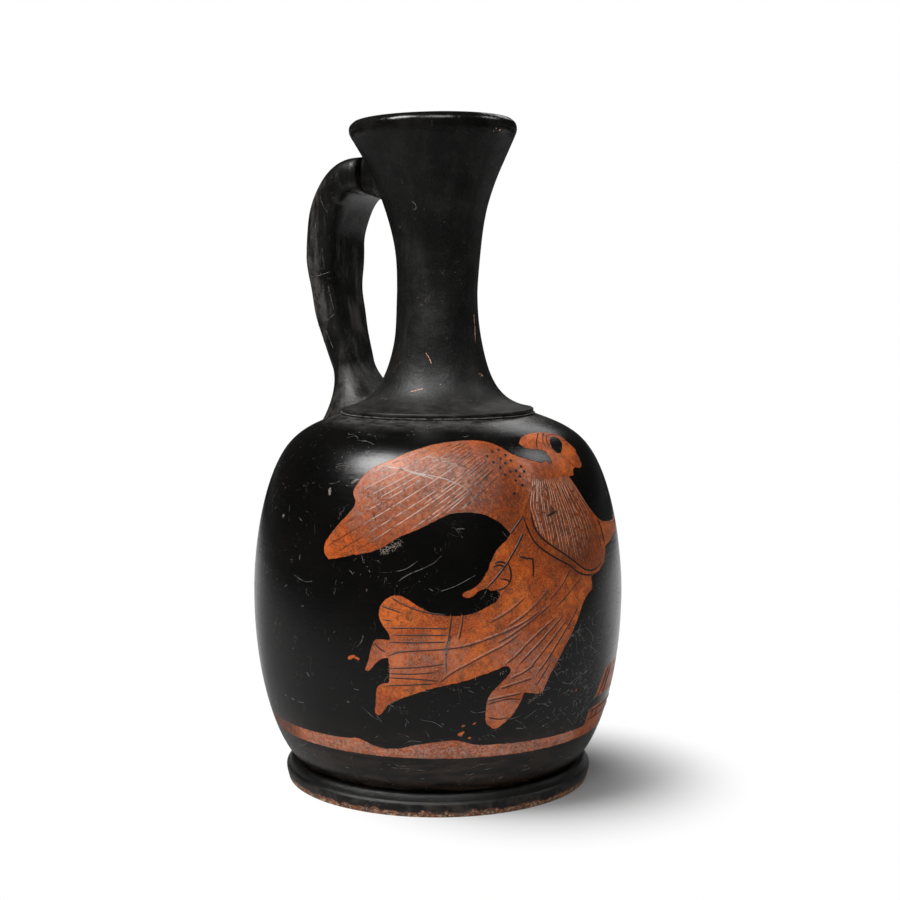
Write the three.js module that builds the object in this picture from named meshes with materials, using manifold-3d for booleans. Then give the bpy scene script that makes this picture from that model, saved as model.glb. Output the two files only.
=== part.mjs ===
// Squat lekythos: a small oil flask of fired clay with a ring foot, a broad low body, a narrow
// neck with a trumpet mouth, and one strap handle. Its thrown and pulled pieces are joined by
// seams and lumps of luting clay.
// Millimetres, +Z up. The origin is on the axis at the resting plane; the handle is towards -X.

import * as THREE from 'three';
import { mergeVertices } from 'three/addons/utils/BufferGeometryUtils.js';
import Module from 'manifold-3d';

// Foot
const FOOT_RADIUS = 35.4; // at the ridge round its side
const FOOT_HEIGHT = 6;
const FOOT_RIDGE_HEIGHT = 3.4;
const FOOT_RIDGE_STEP = 0.3; // the moulding above the ridge stands back by this much
const FOOT_EDGE_INSET = 0.9; // the side leans in to the resting edge
const FOOT_TOP_INSET = 1.5; // the moulding rolls in to the seam under the body
const FOOT_RING_WIDTH = 9.5; // of the face it rests on
const FOOT_HOLLOW_SLOPE = 1.5; // the inner side of the ring leans in by this much

// Body
const BODY_HEIGHT = 77.6;
const BASE_OVERHANG = 0.3; // the body's lower edge stands out over the foot's top
const BELLY_RADIUS = 42.5;
const BELLY_HEIGHT = 36.5; // above the body's base
const SHOULDER_RADIUS = 36.4; // where the wall turns over into the shoulder
const SHOULDER_DROP = 10.1; // of that turn below the body's top
const SHOULDER_LEDGE = 0.2; // the neck's seat reaches past its flange
const WALL = 4;
const FLOOR = 5;
const FLOOR_FILLET = 3;
const THROAT_RADIUS = 9; // of the hole through the shoulder

// Neck and mouth
const FLANGE_RADIUS = 22;
const FLANGE_EDGE = 0.8;
const NECK_HEIGHT = 65.4;
const NECK_RADIUS = 9.15; // at the waist
const WAIST_HEIGHT = 27.4; // above the neck's base
const NECK_WALL = 3.2;
const THROAT_FLARE_HEIGHT = 7;
const MOUTH_RADIUS = 19.05; // at the widest point of the lip
const LIP_HEIGHT = 2.8; // from the widest point to the rim
const LIP_DEPTH = 3; // of the lip's rounding below its widest point
const LIP_OVERHANG = 1.35; // the lip stands out past the top of the trumpet
const LIP_WIDTH = 3.65;
const LIP_INNER_DROP = 1.2; // of the lip's inner edge below the rim
const MOUTH_LEAN = 1.4; // the hand-made mouth leans towards the handle
const MOUTH_DIP_ANGLE = 1.5; // degrees, the rim's tilt down towards the handle

// Luting clay
const SEAM_THICKNESS = 0.5;
const SEAM_INSET = 0.6; // the seam stays behind the edges that it joins
const JOINT_GAP = 0.3; // between fitted pieces

// Handle: a strap whose centre line runs out from the mouth, bends, and comes down to the shoulder
const HANDLE_REACH = 28.9; // from the axis to the centre line at its furthest
const HANDLE_TOP_DROP = 11.5; // of the upper end below the rim
const HANDLE_TOP_INSET = 0.65; // of the upper end inside the mouth's overhang
const HANDLE_BEND_DROP = 28; // of the furthest point below the rim
const HANDLE_ROOT_OVERHANG = 1.8; // of the lower end past the flange's edge
const HANDLE_ROOT_HEIGHT = 10.5; // of the lower end above the shoulder
const STRAP_TOP_WIDTH = 18.6;
const STRAP_ROOT_WIDTH = 12.6;
const STRAP_TOP_THICKNESS = 8.4;
const STRAP_BEND_THICKNESS = 8.6; // it swells a little at the bend
const STRAP_ROOT_THICKNESS = 6.2;
const STRAP_CORNER = 3; // rounding of the strap's long edges
const UPPER_ROOT_FLARE = 4; // above and below the strap, where it runs into the neck
const LOWER_ROOT_FLARE = 6.6; // all round the strap, where it runs into the shoulder
const FLARE_POWER = 1.3; // the flares are slightly hollow

// Facets
const TURNS = 48; // round the axis
const CURVE_STEPS = 8; // along each curve of the outer walls
const SHORT_CURVE_STEPS = 5; // along each curve of the foot, the floor's edge and the neck's inside
const STRAP_STEPS = 22;
const LUMP_STEPS = 6;
const CORNER_STEPS = 2; // half the facets of each rounded strap corner
const WELD_TOLERANCE = 1e-3;

// Heights of the stacked pieces
const BODY_BASE = FOOT_HEIGHT + SEAM_THICKNESS;
const BODY_TOP = BODY_BASE + BODY_HEIGHT;
const NECK_BASE = BODY_TOP + SEAM_THICKNESS;
const RIM = NECK_BASE + NECK_HEIGHT;
const WAIST = NECK_BASE + WAIST_HEIGHT;

const FOOT_TOP_RADIUS = FOOT_RADIUS - FOOT_TOP_INSET;
const FOOT_HOLLOW_RADIUS = FOOT_RADIUS - FOOT_EDGE_INSET - FOOT_RING_WIDTH;
const BORE_RADIUS = NECK_RADIUS - NECK_WALL;

const wasm = await Module();
wasm.setup();

const GLOSS_BLACK = { color: 0x1a1613, roughness: 0.3, metalness: 0 };
const BARE_CLAY = { color: 0xb5683a, roughness: 0.8, metalness: 0 };

// Continues a profile to a point with one smooth curve. The curve leaves and arrives along the
// given angles, in degrees from the outward horizontal; each pull is a share of the chord.
function sweepTo(path, radius, height, leave, arrive, leavePull, arrivePull) {
  const from = path.currentPoint.clone();
  const to = new THREE.Vector2(radius, height);
  const chord = from.distanceTo(to);
  const along = (angle, length) => new THREE.Vector2(length, 0).rotateAround(
    new THREE.Vector2(), THREE.MathUtils.degToRad(angle));
  const first = from.clone().add(along(leave, leavePull * chord));
  const second = to.clone().sub(along(arrive, arrivePull * chord));
  path.bezierCurveTo(first.x, first.y, second.x, second.y, to.x, to.y);
}

// A profile's points moved square to it, to the right of its direction: out from a wall that
// is drawn upwards, or in where the distance is negative.
function offsetProfile(points, distance) {
  return points.map((point, i) => {
    const before = points[Math.max(i - 1, 0)];
    const after = points[Math.min(i + 1, points.length - 1)];
    const along = after.clone().sub(before).normalize();
    return new THREE.Vector2(point.x + along.y * distance, point.y - along.x * distance);
  });
}

// Joins coincident points and drops the triangles that this collapses.
function weld(geometry) {
  geometry.deleteAttribute('normal');
  geometry.deleteAttribute('uv');
  const merged = mergeVertices(geometry, WELD_TOLERANCE);
  const corners = merged.index.array;
  const kept = [];
  for (let i = 0; i < corners.length; i += 3) {
    const [a, b, c] = corners.subarray(i, i + 3);
    if (a !== b && b !== c && c !== a) kept.push(a, b, c);
  }
  merged.setIndex(kept);
  return merged;
}

// A solid turned about the Z axis from (radius, height) points.
function revolve(points) {
  return weld(new THREE.LatheGeometry(points, TURNS).rotateX(Math.PI / 2));
}

// A flat ring between two radii and two heights.
function flatRing(innerRadius, outerRadius, bottom, top) {
  const section = new THREE.Path();
  section.moveTo(innerRadius, bottom);
  section.lineTo(outerRadius, bottom);
  section.lineTo(outerRadius, top);
  section.lineTo(innerRadius, top);
  section.lineTo(innerRadius, bottom);
  return revolve(section.getPoints());
}

function toSolid(geometry) {
  const vertProperties = geometry.attributes.position.array;
  const triVerts = Uint32Array.from(geometry.index.array);
  return new wasm.Manifold(new wasm.Mesh({ numProp: 3, vertProperties, triVerts }));
}

// A geometry with others cut away from it.
function cutAway(geometry, ...cutters) {
  const cut = cutters.reduce((solid, cutter) => solid.subtract(toSolid(cutter)), toSolid(geometry));
  const { vertProperties, triVerts } = cut.getMesh();
  const result = new THREE.BufferGeometry();
  result.setAttribute('position', new THREE.BufferAttribute(vertProperties, 3));
  result.setIndex(new THREE.BufferAttribute(triVerts, 1));
  return result;
}

// Leans everything above the neck's waist towards the handle and tilts the rim, more with height.
function leanMouth(geometry) {
  const position = geometry.attributes.position;
  const dip = Math.tan(THREE.MathUtils.degToRad(MOUTH_DIP_ANGLE));
  for (let i = 0; i < position.count; i += 1) {
    const rise = Math.max(position.getZ(i) - WAIST, 0) / (RIM - WAIST);
    const share = rise * rise;
    position.setZ(i, position.getZ(i) + share * dip * position.getX(i));
    position.setX(i, position.getX(i) - share * MOUTH_LEAN);
  }
  return geometry;
}

function bodyOuterProfile() {
  const wall = new THREE.Path();
  wall.moveTo(FOOT_TOP_RADIUS + BASE_OVERHANG, BODY_BASE);
  sweepTo(wall, BELLY_RADIUS, BODY_BASE + BELLY_HEIGHT, 50, 90, 0.17, 0.48);
  sweepTo(wall, SHOULDER_RADIUS, BODY_TOP - SHOULDER_DROP, 90, 118, 0.35, 0.26);
  sweepTo(wall, FLANGE_RADIUS + SHOULDER_LEDGE, BODY_TOP, 118, 160, 0.42, 0.36);
  return wall.getPoints(CURVE_STEPS);
}

function neckOuterProfile() {
  const wall = new THREE.Path();
  wall.moveTo(FLANGE_RADIUS, NECK_BASE);
  wall.lineTo(FLANGE_RADIUS, NECK_BASE + FLANGE_EDGE);
  sweepTo(wall, NECK_RADIUS, WAIST, 171, 93, 0.31, 0.64);
  sweepTo(wall, MOUTH_RADIUS - LIP_OVERHANG, RIM - LIP_HEIGHT - LIP_DEPTH, 91, 60, 0.34, 0.45);
  sweepTo(wall, MOUTH_RADIUS, RIM - LIP_HEIGHT, 60, 90, 0.35, 0.35);
  return wall.getPoints(CURVE_STEPS);
}

function footGeometry() {
  const section = new THREE.Path();
  section.moveTo(FOOT_HOLLOW_RADIUS, 0);
  section.lineTo(FOOT_RADIUS - FOOT_EDGE_INSET, 0);
  sweepTo(section, FOOT_RADIUS, FOOT_RIDGE_HEIGHT, 60, 90, 0.3, 0.4);
  section.lineTo(FOOT_RADIUS - FOOT_RIDGE_STEP, FOOT_RIDGE_HEIGHT + FOOT_RIDGE_STEP);
  sweepTo(section, FOOT_TOP_RADIUS, FOOT_HEIGHT, 85, 175, 0.4, 0.4);
  section.lineTo(FOOT_HOLLOW_RADIUS - FOOT_HOLLOW_SLOPE, FOOT_HEIGHT);
  sweepTo(section, FOOT_HOLLOW_RADIUS, 0, 270, 320, 0.4, 0.3);
  return revolve(section.getPoints(SHORT_CURVE_STEPS));
}

function bodyGeometry() {
  const outer = bodyOuterProfile();
  const floorTop = BODY_BASE + FLOOR;
  const roof = BODY_TOP - WALL;
  const inner = offsetProfile(outer, -WALL)
    .filter((point) => point.y > floorTop + FLOOR_FILLET && point.y < roof)
    .reverse();
  const last = inner[inner.length - 1];
  const floor = new THREE.Path();
  floor.moveTo(last.x, last.y);
  sweepTo(floor, last.x - FLOOR_FILLET, floorTop, 260, 185, 0.4, 0.4);
  floor.lineTo(0, floorTop);
  return revolve([
    new THREE.Vector2(0, BODY_BASE),
    ...outer,
    new THREE.Vector2(THROAT_RADIUS, BODY_TOP),
    new THREE.Vector2(THROAT_RADIUS, roof),
    new THREE.Vector2(FLANGE_RADIUS, roof),
    ...inner,
    ...floor.getPoints(SHORT_CURVE_STEPS).slice(1),
  ]);
}

function neckGeometry() {
  const inside = new THREE.Path();
  inside.moveTo(MOUTH_RADIUS, RIM - LIP_HEIGHT);
  sweepTo(inside, MOUTH_RADIUS - LIP_WIDTH / 2, RIM, 90, 180, 0.5, 0.4);
  sweepTo(inside, MOUTH_RADIUS - LIP_WIDTH, RIM - LIP_INNER_DROP, 180, 235, 0.4, 0.4);
  sweepTo(inside, BORE_RADIUS, WAIST, 241, 270, 0.34, 0.44);
  inside.lineTo(BORE_RADIUS, NECK_BASE + THROAT_FLARE_HEIGHT);
  sweepTo(inside, THROAT_RADIUS, NECK_BASE, 270, 320, 0.4, 0.2);
  inside.lineTo(FLANGE_RADIUS, NECK_BASE);
  return leanMouth(revolve([
    ...neckOuterProfile(),
    ...inside.getPoints(SHORT_CURVE_STEPS).slice(1),
  ]));
}

// The strap's centre line, as (distance from the axis, height), from the mouth to the shoulder.
function handlePath() {
  const path = new THREE.Path();
  path.moveTo(MOUTH_RADIUS - HANDLE_TOP_INSET, RIM - HANDLE_TOP_DROP);
  sweepTo(path, HANDLE_REACH, RIM - HANDLE_BEND_DROP, 0, 270, 0.3, 0.46);
  sweepTo(path, FLANGE_RADIUS + HANDLE_ROOT_OVERHANG, BODY_TOP + HANDLE_ROOT_HEIGHT,
    272, 252, 0.43, 0.32);
  return path;
}

// The rounded outline of the strap, as (across, through) points.
function strapOutline(width, thickness, corner) {
  const across = width / 2 - corner;
  const through = thickness / 2 - corner;
  const outline = new THREE.Path();
  outline.absarc(across, through, corner, 0, Math.PI / 2);
  outline.absarc(-across, through, corner, Math.PI / 2, Math.PI);
  outline.absarc(-across, -through, corner, Math.PI, Math.PI * 1.5);
  outline.absarc(across, -through, corner, Math.PI * 1.5, Math.PI * 2);
  outline.closePath();
  return outline.getPoints(CORNER_STEPS).slice(0, -1);
}

// A closed solid through stations in the handle's plane. Each has a centre and a direction, both
// as (distance from the axis, height), with the strap's width, thickness and corner there.
function loft(stations) {
  const points = [];
  const faces = [];
  let count = 0;
  stations.forEach(({ centre, direction, width, thickness, corner }) => {
    const outline = strapOutline(width, thickness, corner);
    count = outline.length;
    outline.forEach(({ x: across, y: through }) => {
      const reach = centre.x - direction.y * through;
      points.push(-reach, across, centre.y + direction.x * through);
    });
  });
  const last = (stations.length - 1) * count;
  for (let start = 0; start < last; start += count) {
    for (let i = 0; i < count; i += 1) {
      const next = (i + 1) % count;
      const [a, b] = [start + i, start + next];
      faces.push(a, a + count, b, b, a + count, b + count);
    }
  }
  for (let i = 1; i < count - 1; i += 1) {
    faces.push(0, i, i + 1, last, last + i + 1, last + i);
  }
  const geometry = new THREE.BufferGeometry();
  geometry.setAttribute('position', new THREE.Float32BufferAttribute(points, 3));
  geometry.setIndex(faces);
  return geometry;
}

function handleGeometry() {
  const path = handlePath();
  const bendShare = path.curves[0].getLength() / path.getLength();
  const stations = [];
  for (let i = 0; i <= STRAP_STEPS; i += 1) {
    const share = i / STRAP_STEPS;
    const fromBend = share - bendShare;
    stations.push({
      centre: path.getPointAt(share),
      direction: path.getTangentAt(share),
      width: THREE.MathUtils.lerp(STRAP_TOP_WIDTH, STRAP_ROOT_WIDTH, share),
      thickness: fromBend < 0
        ? THREE.MathUtils.lerp(STRAP_TOP_THICKNESS, STRAP_BEND_THICKNESS, share / bendShare)
        : THREE.MathUtils.lerp(
          STRAP_BEND_THICKNESS, STRAP_ROOT_THICKNESS, fromBend / (1 - bendShare)),
      corner: STRAP_CORNER,
    });
  }
  return loft(stations);
}

// A lump of luting that carries on from one end of the strap for a length that ends inside what
// it roots on. It flares across and through the strap by the given amounts on each side.
function rootLump(centre, direction, width, thickness, length, flareAcross, flareThrough) {
  const stations = [];
  for (let i = 0; i <= LUMP_STEPS; i += 1) {
    const share = i / LUMP_STEPS;
    const flare = share ** FLARE_POWER;
    stations.push({
      centre: centre.clone().addScaledVector(direction, JOINT_GAP + share * length),
      direction,
      width: width + 2 * flare * flareAcross,
      thickness: thickness + 2 * flare * flareThrough,
      corner: STRAP_CORNER + flare * flareAcross,
    });
  }
  return loft(stations);
}

// The neck's and the body's outsides grown by the joint gap, for cutting the lumps to fit.
function grownNeck() {
  const points = offsetProfile(neckOuterProfile(), JOINT_GAP);
  points.unshift(new THREE.Vector2(points[0].x, NECK_BASE - SEAM_THICKNESS));
  points.unshift(new THREE.Vector2(0, NECK_BASE - SEAM_THICKNESS));
  points.push(new THREE.Vector2(0, points[points.length - 1].y));
  return leanMouth(revolve(points));
}

function grownBody() {
  const points = offsetProfile(bodyOuterProfile(), JOINT_GAP);
  points.unshift(new THREE.Vector2(0, BODY_BASE));
  points.push(new THREE.Vector2(0, points[points.length - 1].y));
  return revolve(points);
}

function upperLutingGeometry() {
  const path = handlePath();
  const back = path.getTangentAt(0).negate();
  const length = MOUTH_RADIUS - HANDLE_TOP_INSET - JOINT_GAP - BORE_RADIUS;
  const lump = rootLump(path.getPointAt(0), back,
    STRAP_TOP_WIDTH, STRAP_TOP_THICKNESS, length, 0, UPPER_ROOT_FLARE);
  return cutAway(lump, grownNeck());
}

function lowerLutingGeometry() {
  const path = handlePath();
  const length = HANDLE_ROOT_HEIGHT + WALL;
  const lump = rootLump(path.getPointAt(1), path.getTangentAt(1),
    STRAP_ROOT_WIDTH, STRAP_ROOT_THICKNESS, length, LOWER_ROOT_FLARE, LOWER_ROOT_FLARE);
  return cutAway(lump, grownNeck(), grownBody());
}

const lekythos = new THREE.Group();

function addPiece(name, geometry, look) {
  const mesh = new THREE.Mesh(geometry, new THREE.MeshStandardMaterial(look));
  mesh.name = name;
  lekythos.add(mesh);
}

addPiece('foot', footGeometry(), GLOSS_BLACK);
addPiece('foot_luting', flatRing(
  FOOT_HOLLOW_RADIUS - FOOT_HOLLOW_SLOPE + SEAM_INSET, FOOT_TOP_RADIUS - SEAM_INSET,
  FOOT_HEIGHT, BODY_BASE), BARE_CLAY);
addPiece('body', bodyGeometry(), GLOSS_BLACK);
addPiece('neck_luting', flatRing(
  THROAT_RADIUS + SEAM_INSET, FLANGE_RADIUS - SEAM_INSET, BODY_TOP, NECK_BASE), BARE_CLAY);
addPiece('neck', neckGeometry(), GLOSS_BLACK);
addPiece('handle', handleGeometry(), GLOSS_BLACK);
addPiece('handle_upper_luting', upperLutingGeometry(), GLOSS_BLACK);
addPiece('handle_lower_luting', lowerLutingGeometry(), GLOSS_BLACK);

export default lekythos;
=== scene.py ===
# Squat lekythos: the looks of the oil flask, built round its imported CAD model.
# The scene is in metres. The flask's named sizes are in millimetres, the studio's in metres.
# +Z is up and the handle is towards -X.
import math

import bmesh
import bpy
import numpy as np
from mathutils import Matrix, Vector


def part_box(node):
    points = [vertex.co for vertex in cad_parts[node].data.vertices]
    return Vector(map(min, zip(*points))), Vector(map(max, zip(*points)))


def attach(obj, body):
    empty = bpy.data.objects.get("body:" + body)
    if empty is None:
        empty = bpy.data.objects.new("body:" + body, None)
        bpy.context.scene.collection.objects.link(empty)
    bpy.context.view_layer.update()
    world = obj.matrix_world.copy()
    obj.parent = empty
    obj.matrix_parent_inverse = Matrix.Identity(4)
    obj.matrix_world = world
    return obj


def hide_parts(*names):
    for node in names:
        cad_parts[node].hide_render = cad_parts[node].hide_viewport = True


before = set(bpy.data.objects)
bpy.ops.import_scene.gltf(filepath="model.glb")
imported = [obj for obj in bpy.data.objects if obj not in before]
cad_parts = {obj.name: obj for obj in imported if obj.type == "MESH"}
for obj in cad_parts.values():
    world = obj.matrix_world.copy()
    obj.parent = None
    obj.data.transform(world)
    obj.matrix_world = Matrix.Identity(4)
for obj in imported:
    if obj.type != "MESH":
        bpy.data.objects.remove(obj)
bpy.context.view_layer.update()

MM = 0.001
VIEW_AZIMUTH = 33.0                               # degrees the viewer stands to the right of -Y
FACING = math.radians(VIEW_AZIMUTH - 90)          # the wall's line that faces the viewer

BELLY_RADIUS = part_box("body")[1].x / MM
BODY_BASE, BODY_TOP = (corner.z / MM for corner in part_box("body"))
NECK_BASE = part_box("neck")[0].z / MM
FLANGE_RADIUS, NECK_RADIUS, WAIST_HEIGHT = 22.0, 9.15, 112.0
MOUTH_RADIUS, RIM_HEIGHT = 19.05, 150.0
MOUTH_LEAN, MOUTH_DIP = 1.4, math.tan(math.radians(1.5))
NECK_SWELL, STRAP_SWELL = 0.2, 0.28               # a hand-made unevenness
UNEVEN_LOW, UNEVEN_HIGH = 92.0, 147.0             # it fades out at these heights of the neck
ROOT_SINK = 1.0                                   # how far a handle root sits inside the wall


# Shapes: profiles and smooth lines

LEG_STEPS = 40


def heading(angle):
    """The way that an angle in degrees points."""
    return np.array([math.cos(math.radians(angle)), math.sin(math.radians(angle))])


def profile(start, *legs):
    """Points (radius, height) from start along legs. A leg of two numbers is straight; one of six
    ends with the angles it leaves and arrives at and its two pulls, as shares of the chord."""
    points = [np.array(start, float)]
    for leg in legs:
        begin, end = points[-1], np.array(leg[:2], float)
        if len(leg) == 2:
            points.append(end)
            continue
        leave, arrive, leave_pull, arrive_pull = leg[2:]
        chord = np.linalg.norm(end - begin)
        first = begin + leave_pull * chord * heading(leave)
        second = end - arrive_pull * chord * heading(arrive)
        for t in np.linspace(0, 1, LEG_STEPS + 1)[1:]:
            points.append((1 - t) ** 3 * begin + 3 * t * (1 - t) ** 2 * first
                          + 3 * t * t * (1 - t) * second + t ** 3 * end)
    return np.array(points)


def smooth(points, steps=6):
    """A smooth line through the given points."""
    p = np.array(points, float)
    p = np.vstack([2 * p[0] - p[1], p, 2 * p[-1] - p[-2]])
    t = np.linspace(0, 1, steps, endpoint=False)[:, None]
    spans = [0.5 * (2 * b + (c - a) * t + (2 * a - 5 * b + 4 * c - d) * t ** 2
                    + (3 * b - a - 3 * c + d) * t ** 3)
             for a, b, c, d in zip(p, p[1:], p[2:], p[3:])]
    return np.vstack(spans + [p[-2:-1]])


def inset(points, distance):
    """A profile moved sideways, towards its left hand for a positive distance."""
    along = np.gradient(points, axis=0)
    along /= np.linalg.norm(along, axis=1)[:, None]
    return points + distance * np.column_stack([-along[:, 1], along[:, 0]])


BELLY_HEIGHT = 43.0
WALL = profile((34.2, BODY_BASE), (BELLY_RADIUS, BELLY_HEIGHT, 50, 90, 0.17, 0.48),
               (36.4, 74, 90, 118, 0.35, 0.26), (22.2, BODY_TOP, 118, 160, 0.42, 0.36))
WALL_RUN = np.concatenate([[0], np.cumsum(np.linalg.norm(np.diff(WALL, axis=0), axis=1))])


def wall_run(height):
    """Length along the wall's profile at a height."""
    return np.interp(height, WALL[:, 1], WALL_RUN)


def on_wall(girth, height, lift=0.0):
    """Points on the body's wall: girth runs to the viewer's right from the line that faces them,
    measured round the belly."""
    girth, height = np.asarray(girth, float), np.asarray(height, float)
    run = wall_run(height)
    radius = np.interp(run, WALL_RUN, WALL[:, 0])
    slope = np.gradient(WALL, WALL_RUN, axis=0)
    out = np.interp(run, WALL_RUN, slope[:, 1])
    up = -np.interp(run, WALL_RUN, slope[:, 0])
    angle = FACING + girth / BELLY_RADIUS
    far = radius + lift * out
    return np.stack([far * np.cos(angle), far * np.sin(angle), height + lift * up], -1)


# Node building

def feed(tree, socket, value):
    """Gives an input a field, another node's output, or a plain number or colour."""
    value = value.socket if isinstance(value, Field) else value
    if isinstance(value, bpy.types.NodeSocket):
        tree.links.new(value, socket)
    elif socket.type == "RGBA":
        socket.default_value = (*value, 1)
    else:
        socket.default_value = value


def node(tree, kind, inputs=None, **settings):
    made = tree.nodes.new(kind)
    for name, value in settings.items():
        setattr(made, name, value)
    for key, value in (inputs or {}).items():
        feed(tree, made.inputs[key], value)
    return made


class Field:
    """A number or a colour that changes over a surface: an output in a tree of nodes."""

    def __init__(self, tree, socket):
        self.tree, self.socket = tree, socket

    def new(self, kind, inputs, output=0, **settings):
        """A field from a new node in the same tree."""
        return Field(self.tree, node(self.tree, kind, inputs, **settings).outputs[output])

    def math(self, operation, other=0.0):
        return self.new("ShaderNodeMath", {0: self, 1: other}, operation=operation)

    def __add__(self, other):
        return self.math("ADD", other)

    def __sub__(self, other):
        return self.math("SUBTRACT", other)

    def __mul__(self, other):
        return self.math("MULTIPLY", other)

    def __or__(self, other):
        return self.math("MAXIMUM", other)

    def eased(self, low, high, to_low=0.0, to_high=1.0):
        """This number eased from one range to another."""
        return self.new("ShaderNodeMapRange", {
            "Value": self, "From Min": low, "From Max": high, "To Min": to_low, "To Max": to_high},
            interpolation_type="SMOOTHSTEP")

    def ramp(self, *stops):
        """Colours along this number: each stop is a place and a colour."""
        made = node(self.tree, "ShaderNodeValToRGB", {0: self})
        while len(made.color_ramp.elements) < len(stops):
            made.color_ramp.elements.new(0.5)
        for element, (place, colour) in zip(made.color_ramp.elements, stops):
            element.position = place
            element.color = (*colour, 1)
        return Field(self.tree, made.outputs[0])

    def coloured(self, low, high):
        """A colour that goes from one to another as this number goes from 0 to 1."""
        return self.new("ShaderNodeMix", {0: self, 6: low, 7: high}, 2, data_type="RGBA")

    def painted(self, share, colour):
        """This colour with a share of another over it."""
        return share.coloured(self, colour)

    def moved(self, share, number):
        """This number moved towards another by a share."""
        return self.new("ShaderNodeMix", {0: share, 2: self, 3: number}, data_type="FLOAT")


def shape_tree(name, sizes):
    """An empty geometry tree with named inputs, and its input and output nodes."""
    tree = bpy.data.node_groups.new(name, "GeometryNodeTree")
    tree.interface.new_socket("Geometry", in_out="INPUT", socket_type="NodeSocketGeometry")
    for label, kind in sizes.items():
        tree.interface.new_socket(label, in_out="INPUT", socket_type="NodeSocket" + kind)
    tree.interface.new_socket("Geometry", in_out="OUTPUT", socket_type="NodeSocketGeometry")
    return tree, tree.nodes.new("NodeGroupInput"), tree.nodes.new("NodeGroupOutput")


def finish_tree(tree, given, output, geometry):
    """Ends a tree: real smooth faces of the given material."""
    real = node(tree, "GeometryNodeRealizeInstances", {"Geometry": geometry})
    soft = node(tree, "GeometryNodeSetShadeSmooth", {"Geometry": real.outputs[0]})
    painted = node(tree, "GeometryNodeSetMaterial",
                   {"Geometry": soft.outputs[0], "Material": given.outputs["Material"]})
    tree.links.new(painted.outputs[0], output.inputs["Geometry"])
    return tree


def grown(source, tree, name, **sizes):
    """Runs a geometry tree on a source object and keeps the result as a plain mesh object."""
    modifier = source.modifiers.new("shape", "NODES")
    modifier.node_group = tree
    for item in tree.interface.items_tree:
        if item.in_out == "INPUT" and item.name in sizes:
            modifier[item.identifier] = sizes[item.name]
    graph = bpy.context.evaluated_depsgraph_get()
    mesh = bpy.data.meshes.new_from_object(source.evaluated_get(graph), depsgraph=graph)
    bpy.data.objects.remove(source)
    mesh.name = name
    return link(name, mesh)


def link(name, data):
    made = bpy.data.objects.new(name, data)
    bpy.context.scene.collection.objects.link(made)
    return made


def line_object(name, lines):
    """A curve object of straight-sided lines: rows of x, y, z and thickness, in millimetres."""
    curve = bpy.data.curves.new(name, "CURVE")
    curve.dimensions = "3D"
    for line in lines:
        spline = curve.splines.new("POLY")
        spline.points.add(len(line) - 1)
        spline.points.foreach_set("co", np.column_stack(
            [line[:, :3] * MM, np.ones(len(line))]).astype(np.float32).ravel())
        spline.points.foreach_set("radius", line[:, 3].astype(np.float32))
    return link(name, curve)


def turned_tree():
    """Turns a profile about the axis, with finer columns over one stretch of the girth."""
    tree, given, output = shape_tree("turned_clay", {
        "Rows": "Int", "Columns": "Int", "Fine Share": "Float", "Fine From": "Float",
        "Fine To": "Float", "Material": "Material"})
    get = given.outputs
    sheet = node(tree, "GeometryNodeMeshGrid", {
        "Size X": 1.0, "Size Y": 1.0, "Vertices X": get["Columns"], "Vertices Y": get["Rows"]})
    place = node(tree, "ShaderNodeSeparateXYZ",
                 {0: node(tree, "GeometryNodeInputPosition").outputs[0]})
    across = Field(tree, place.outputs["X"]) + 0.5
    up = across.new("ShaderNodeMath", {0: place.outputs["Y"], 1: 0.5}, operation="ADD", use_clamp=True)
    round_again = Field(tree, get["Fine From"]) + math.tau
    fine = across.new("ShaderNodeMapRange", {
        "Value": across, "From Max": get["Fine Share"], "To Min": get["Fine From"],
        "To Max": get["Fine To"]}, clamp=False)
    coarse = across.new("ShaderNodeMapRange", {
        "Value": across, "From Min": get["Fine Share"], "To Min": get["Fine To"],
        "To Max": round_again}, clamp=False)
    angle = coarse.moved(across.math("LESS_THAN", get["Fine Share"]), fine)
    spot = node(tree, "GeometryNodeSampleCurve", {"Curves": get["Geometry"], "Factor": up},
                mode="FACTOR", use_all_curves=True)
    turn = node(tree, "ShaderNodeVectorRotate", {"Vector": spot.outputs["Position"], "Angle": angle},
                rotation_type="Z_AXIS")
    moved = node(tree, "GeometryNodeSetPosition", {
        "Geometry": sheet.outputs["Mesh"], "Position": turn.outputs[0]})
    closed = node(tree, "GeometryNodeMergeByDistance", {"Geometry": moved.outputs[0], "Distance": 1e-6})
    return finish_tree(tree, given, output, closed.outputs[0])


def ridge_tree():
    """Raised slip lines: a round bead along each line."""
    tree, given, output = shape_tree("slip_ridges", {"Bead Radius": "Float", "Material": "Material"})
    bead = node(tree, "GeometryNodeCurvePrimitiveCircle",
                {"Resolution": 10, "Radius": given.outputs["Bead Radius"]}, mode="RADIUS")
    swept = node(tree, "GeometryNodeCurveToMesh", {
        "Curve": given.outputs["Geometry"], "Profile Curve": bead.outputs["Curve"], "Fill Caps": True,
        "Scale": node(tree, "GeometryNodeInputRadius").outputs[0]})
    return finish_tree(tree, given, output, swept.outputs["Mesh"])


def dot_tree():
    """A low round drop of slip on each point."""
    tree, given, output = shape_tree("slip_dots", {"Drop Radius": "Float", "Material": "Material"})
    drop = node(tree, "GeometryNodeMeshUVSphere", {"Segments": 16, "Rings": 12,
                "Radius": given.outputs["Drop Radius"]})
    points = node(tree, "GeometryNodeMeshToPoints", {"Mesh": given.outputs["Geometry"]})
    drops = node(tree, "GeometryNodeInstanceOnPoints", {"Points": points.outputs["Points"],
                 "Instance": drop.outputs["Mesh"]})
    return finish_tree(tree, given, output, drops.outputs["Instances"])


TURNED, RIDGES, DOTS = turned_tree(), ridge_tree(), dot_tree()


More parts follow.
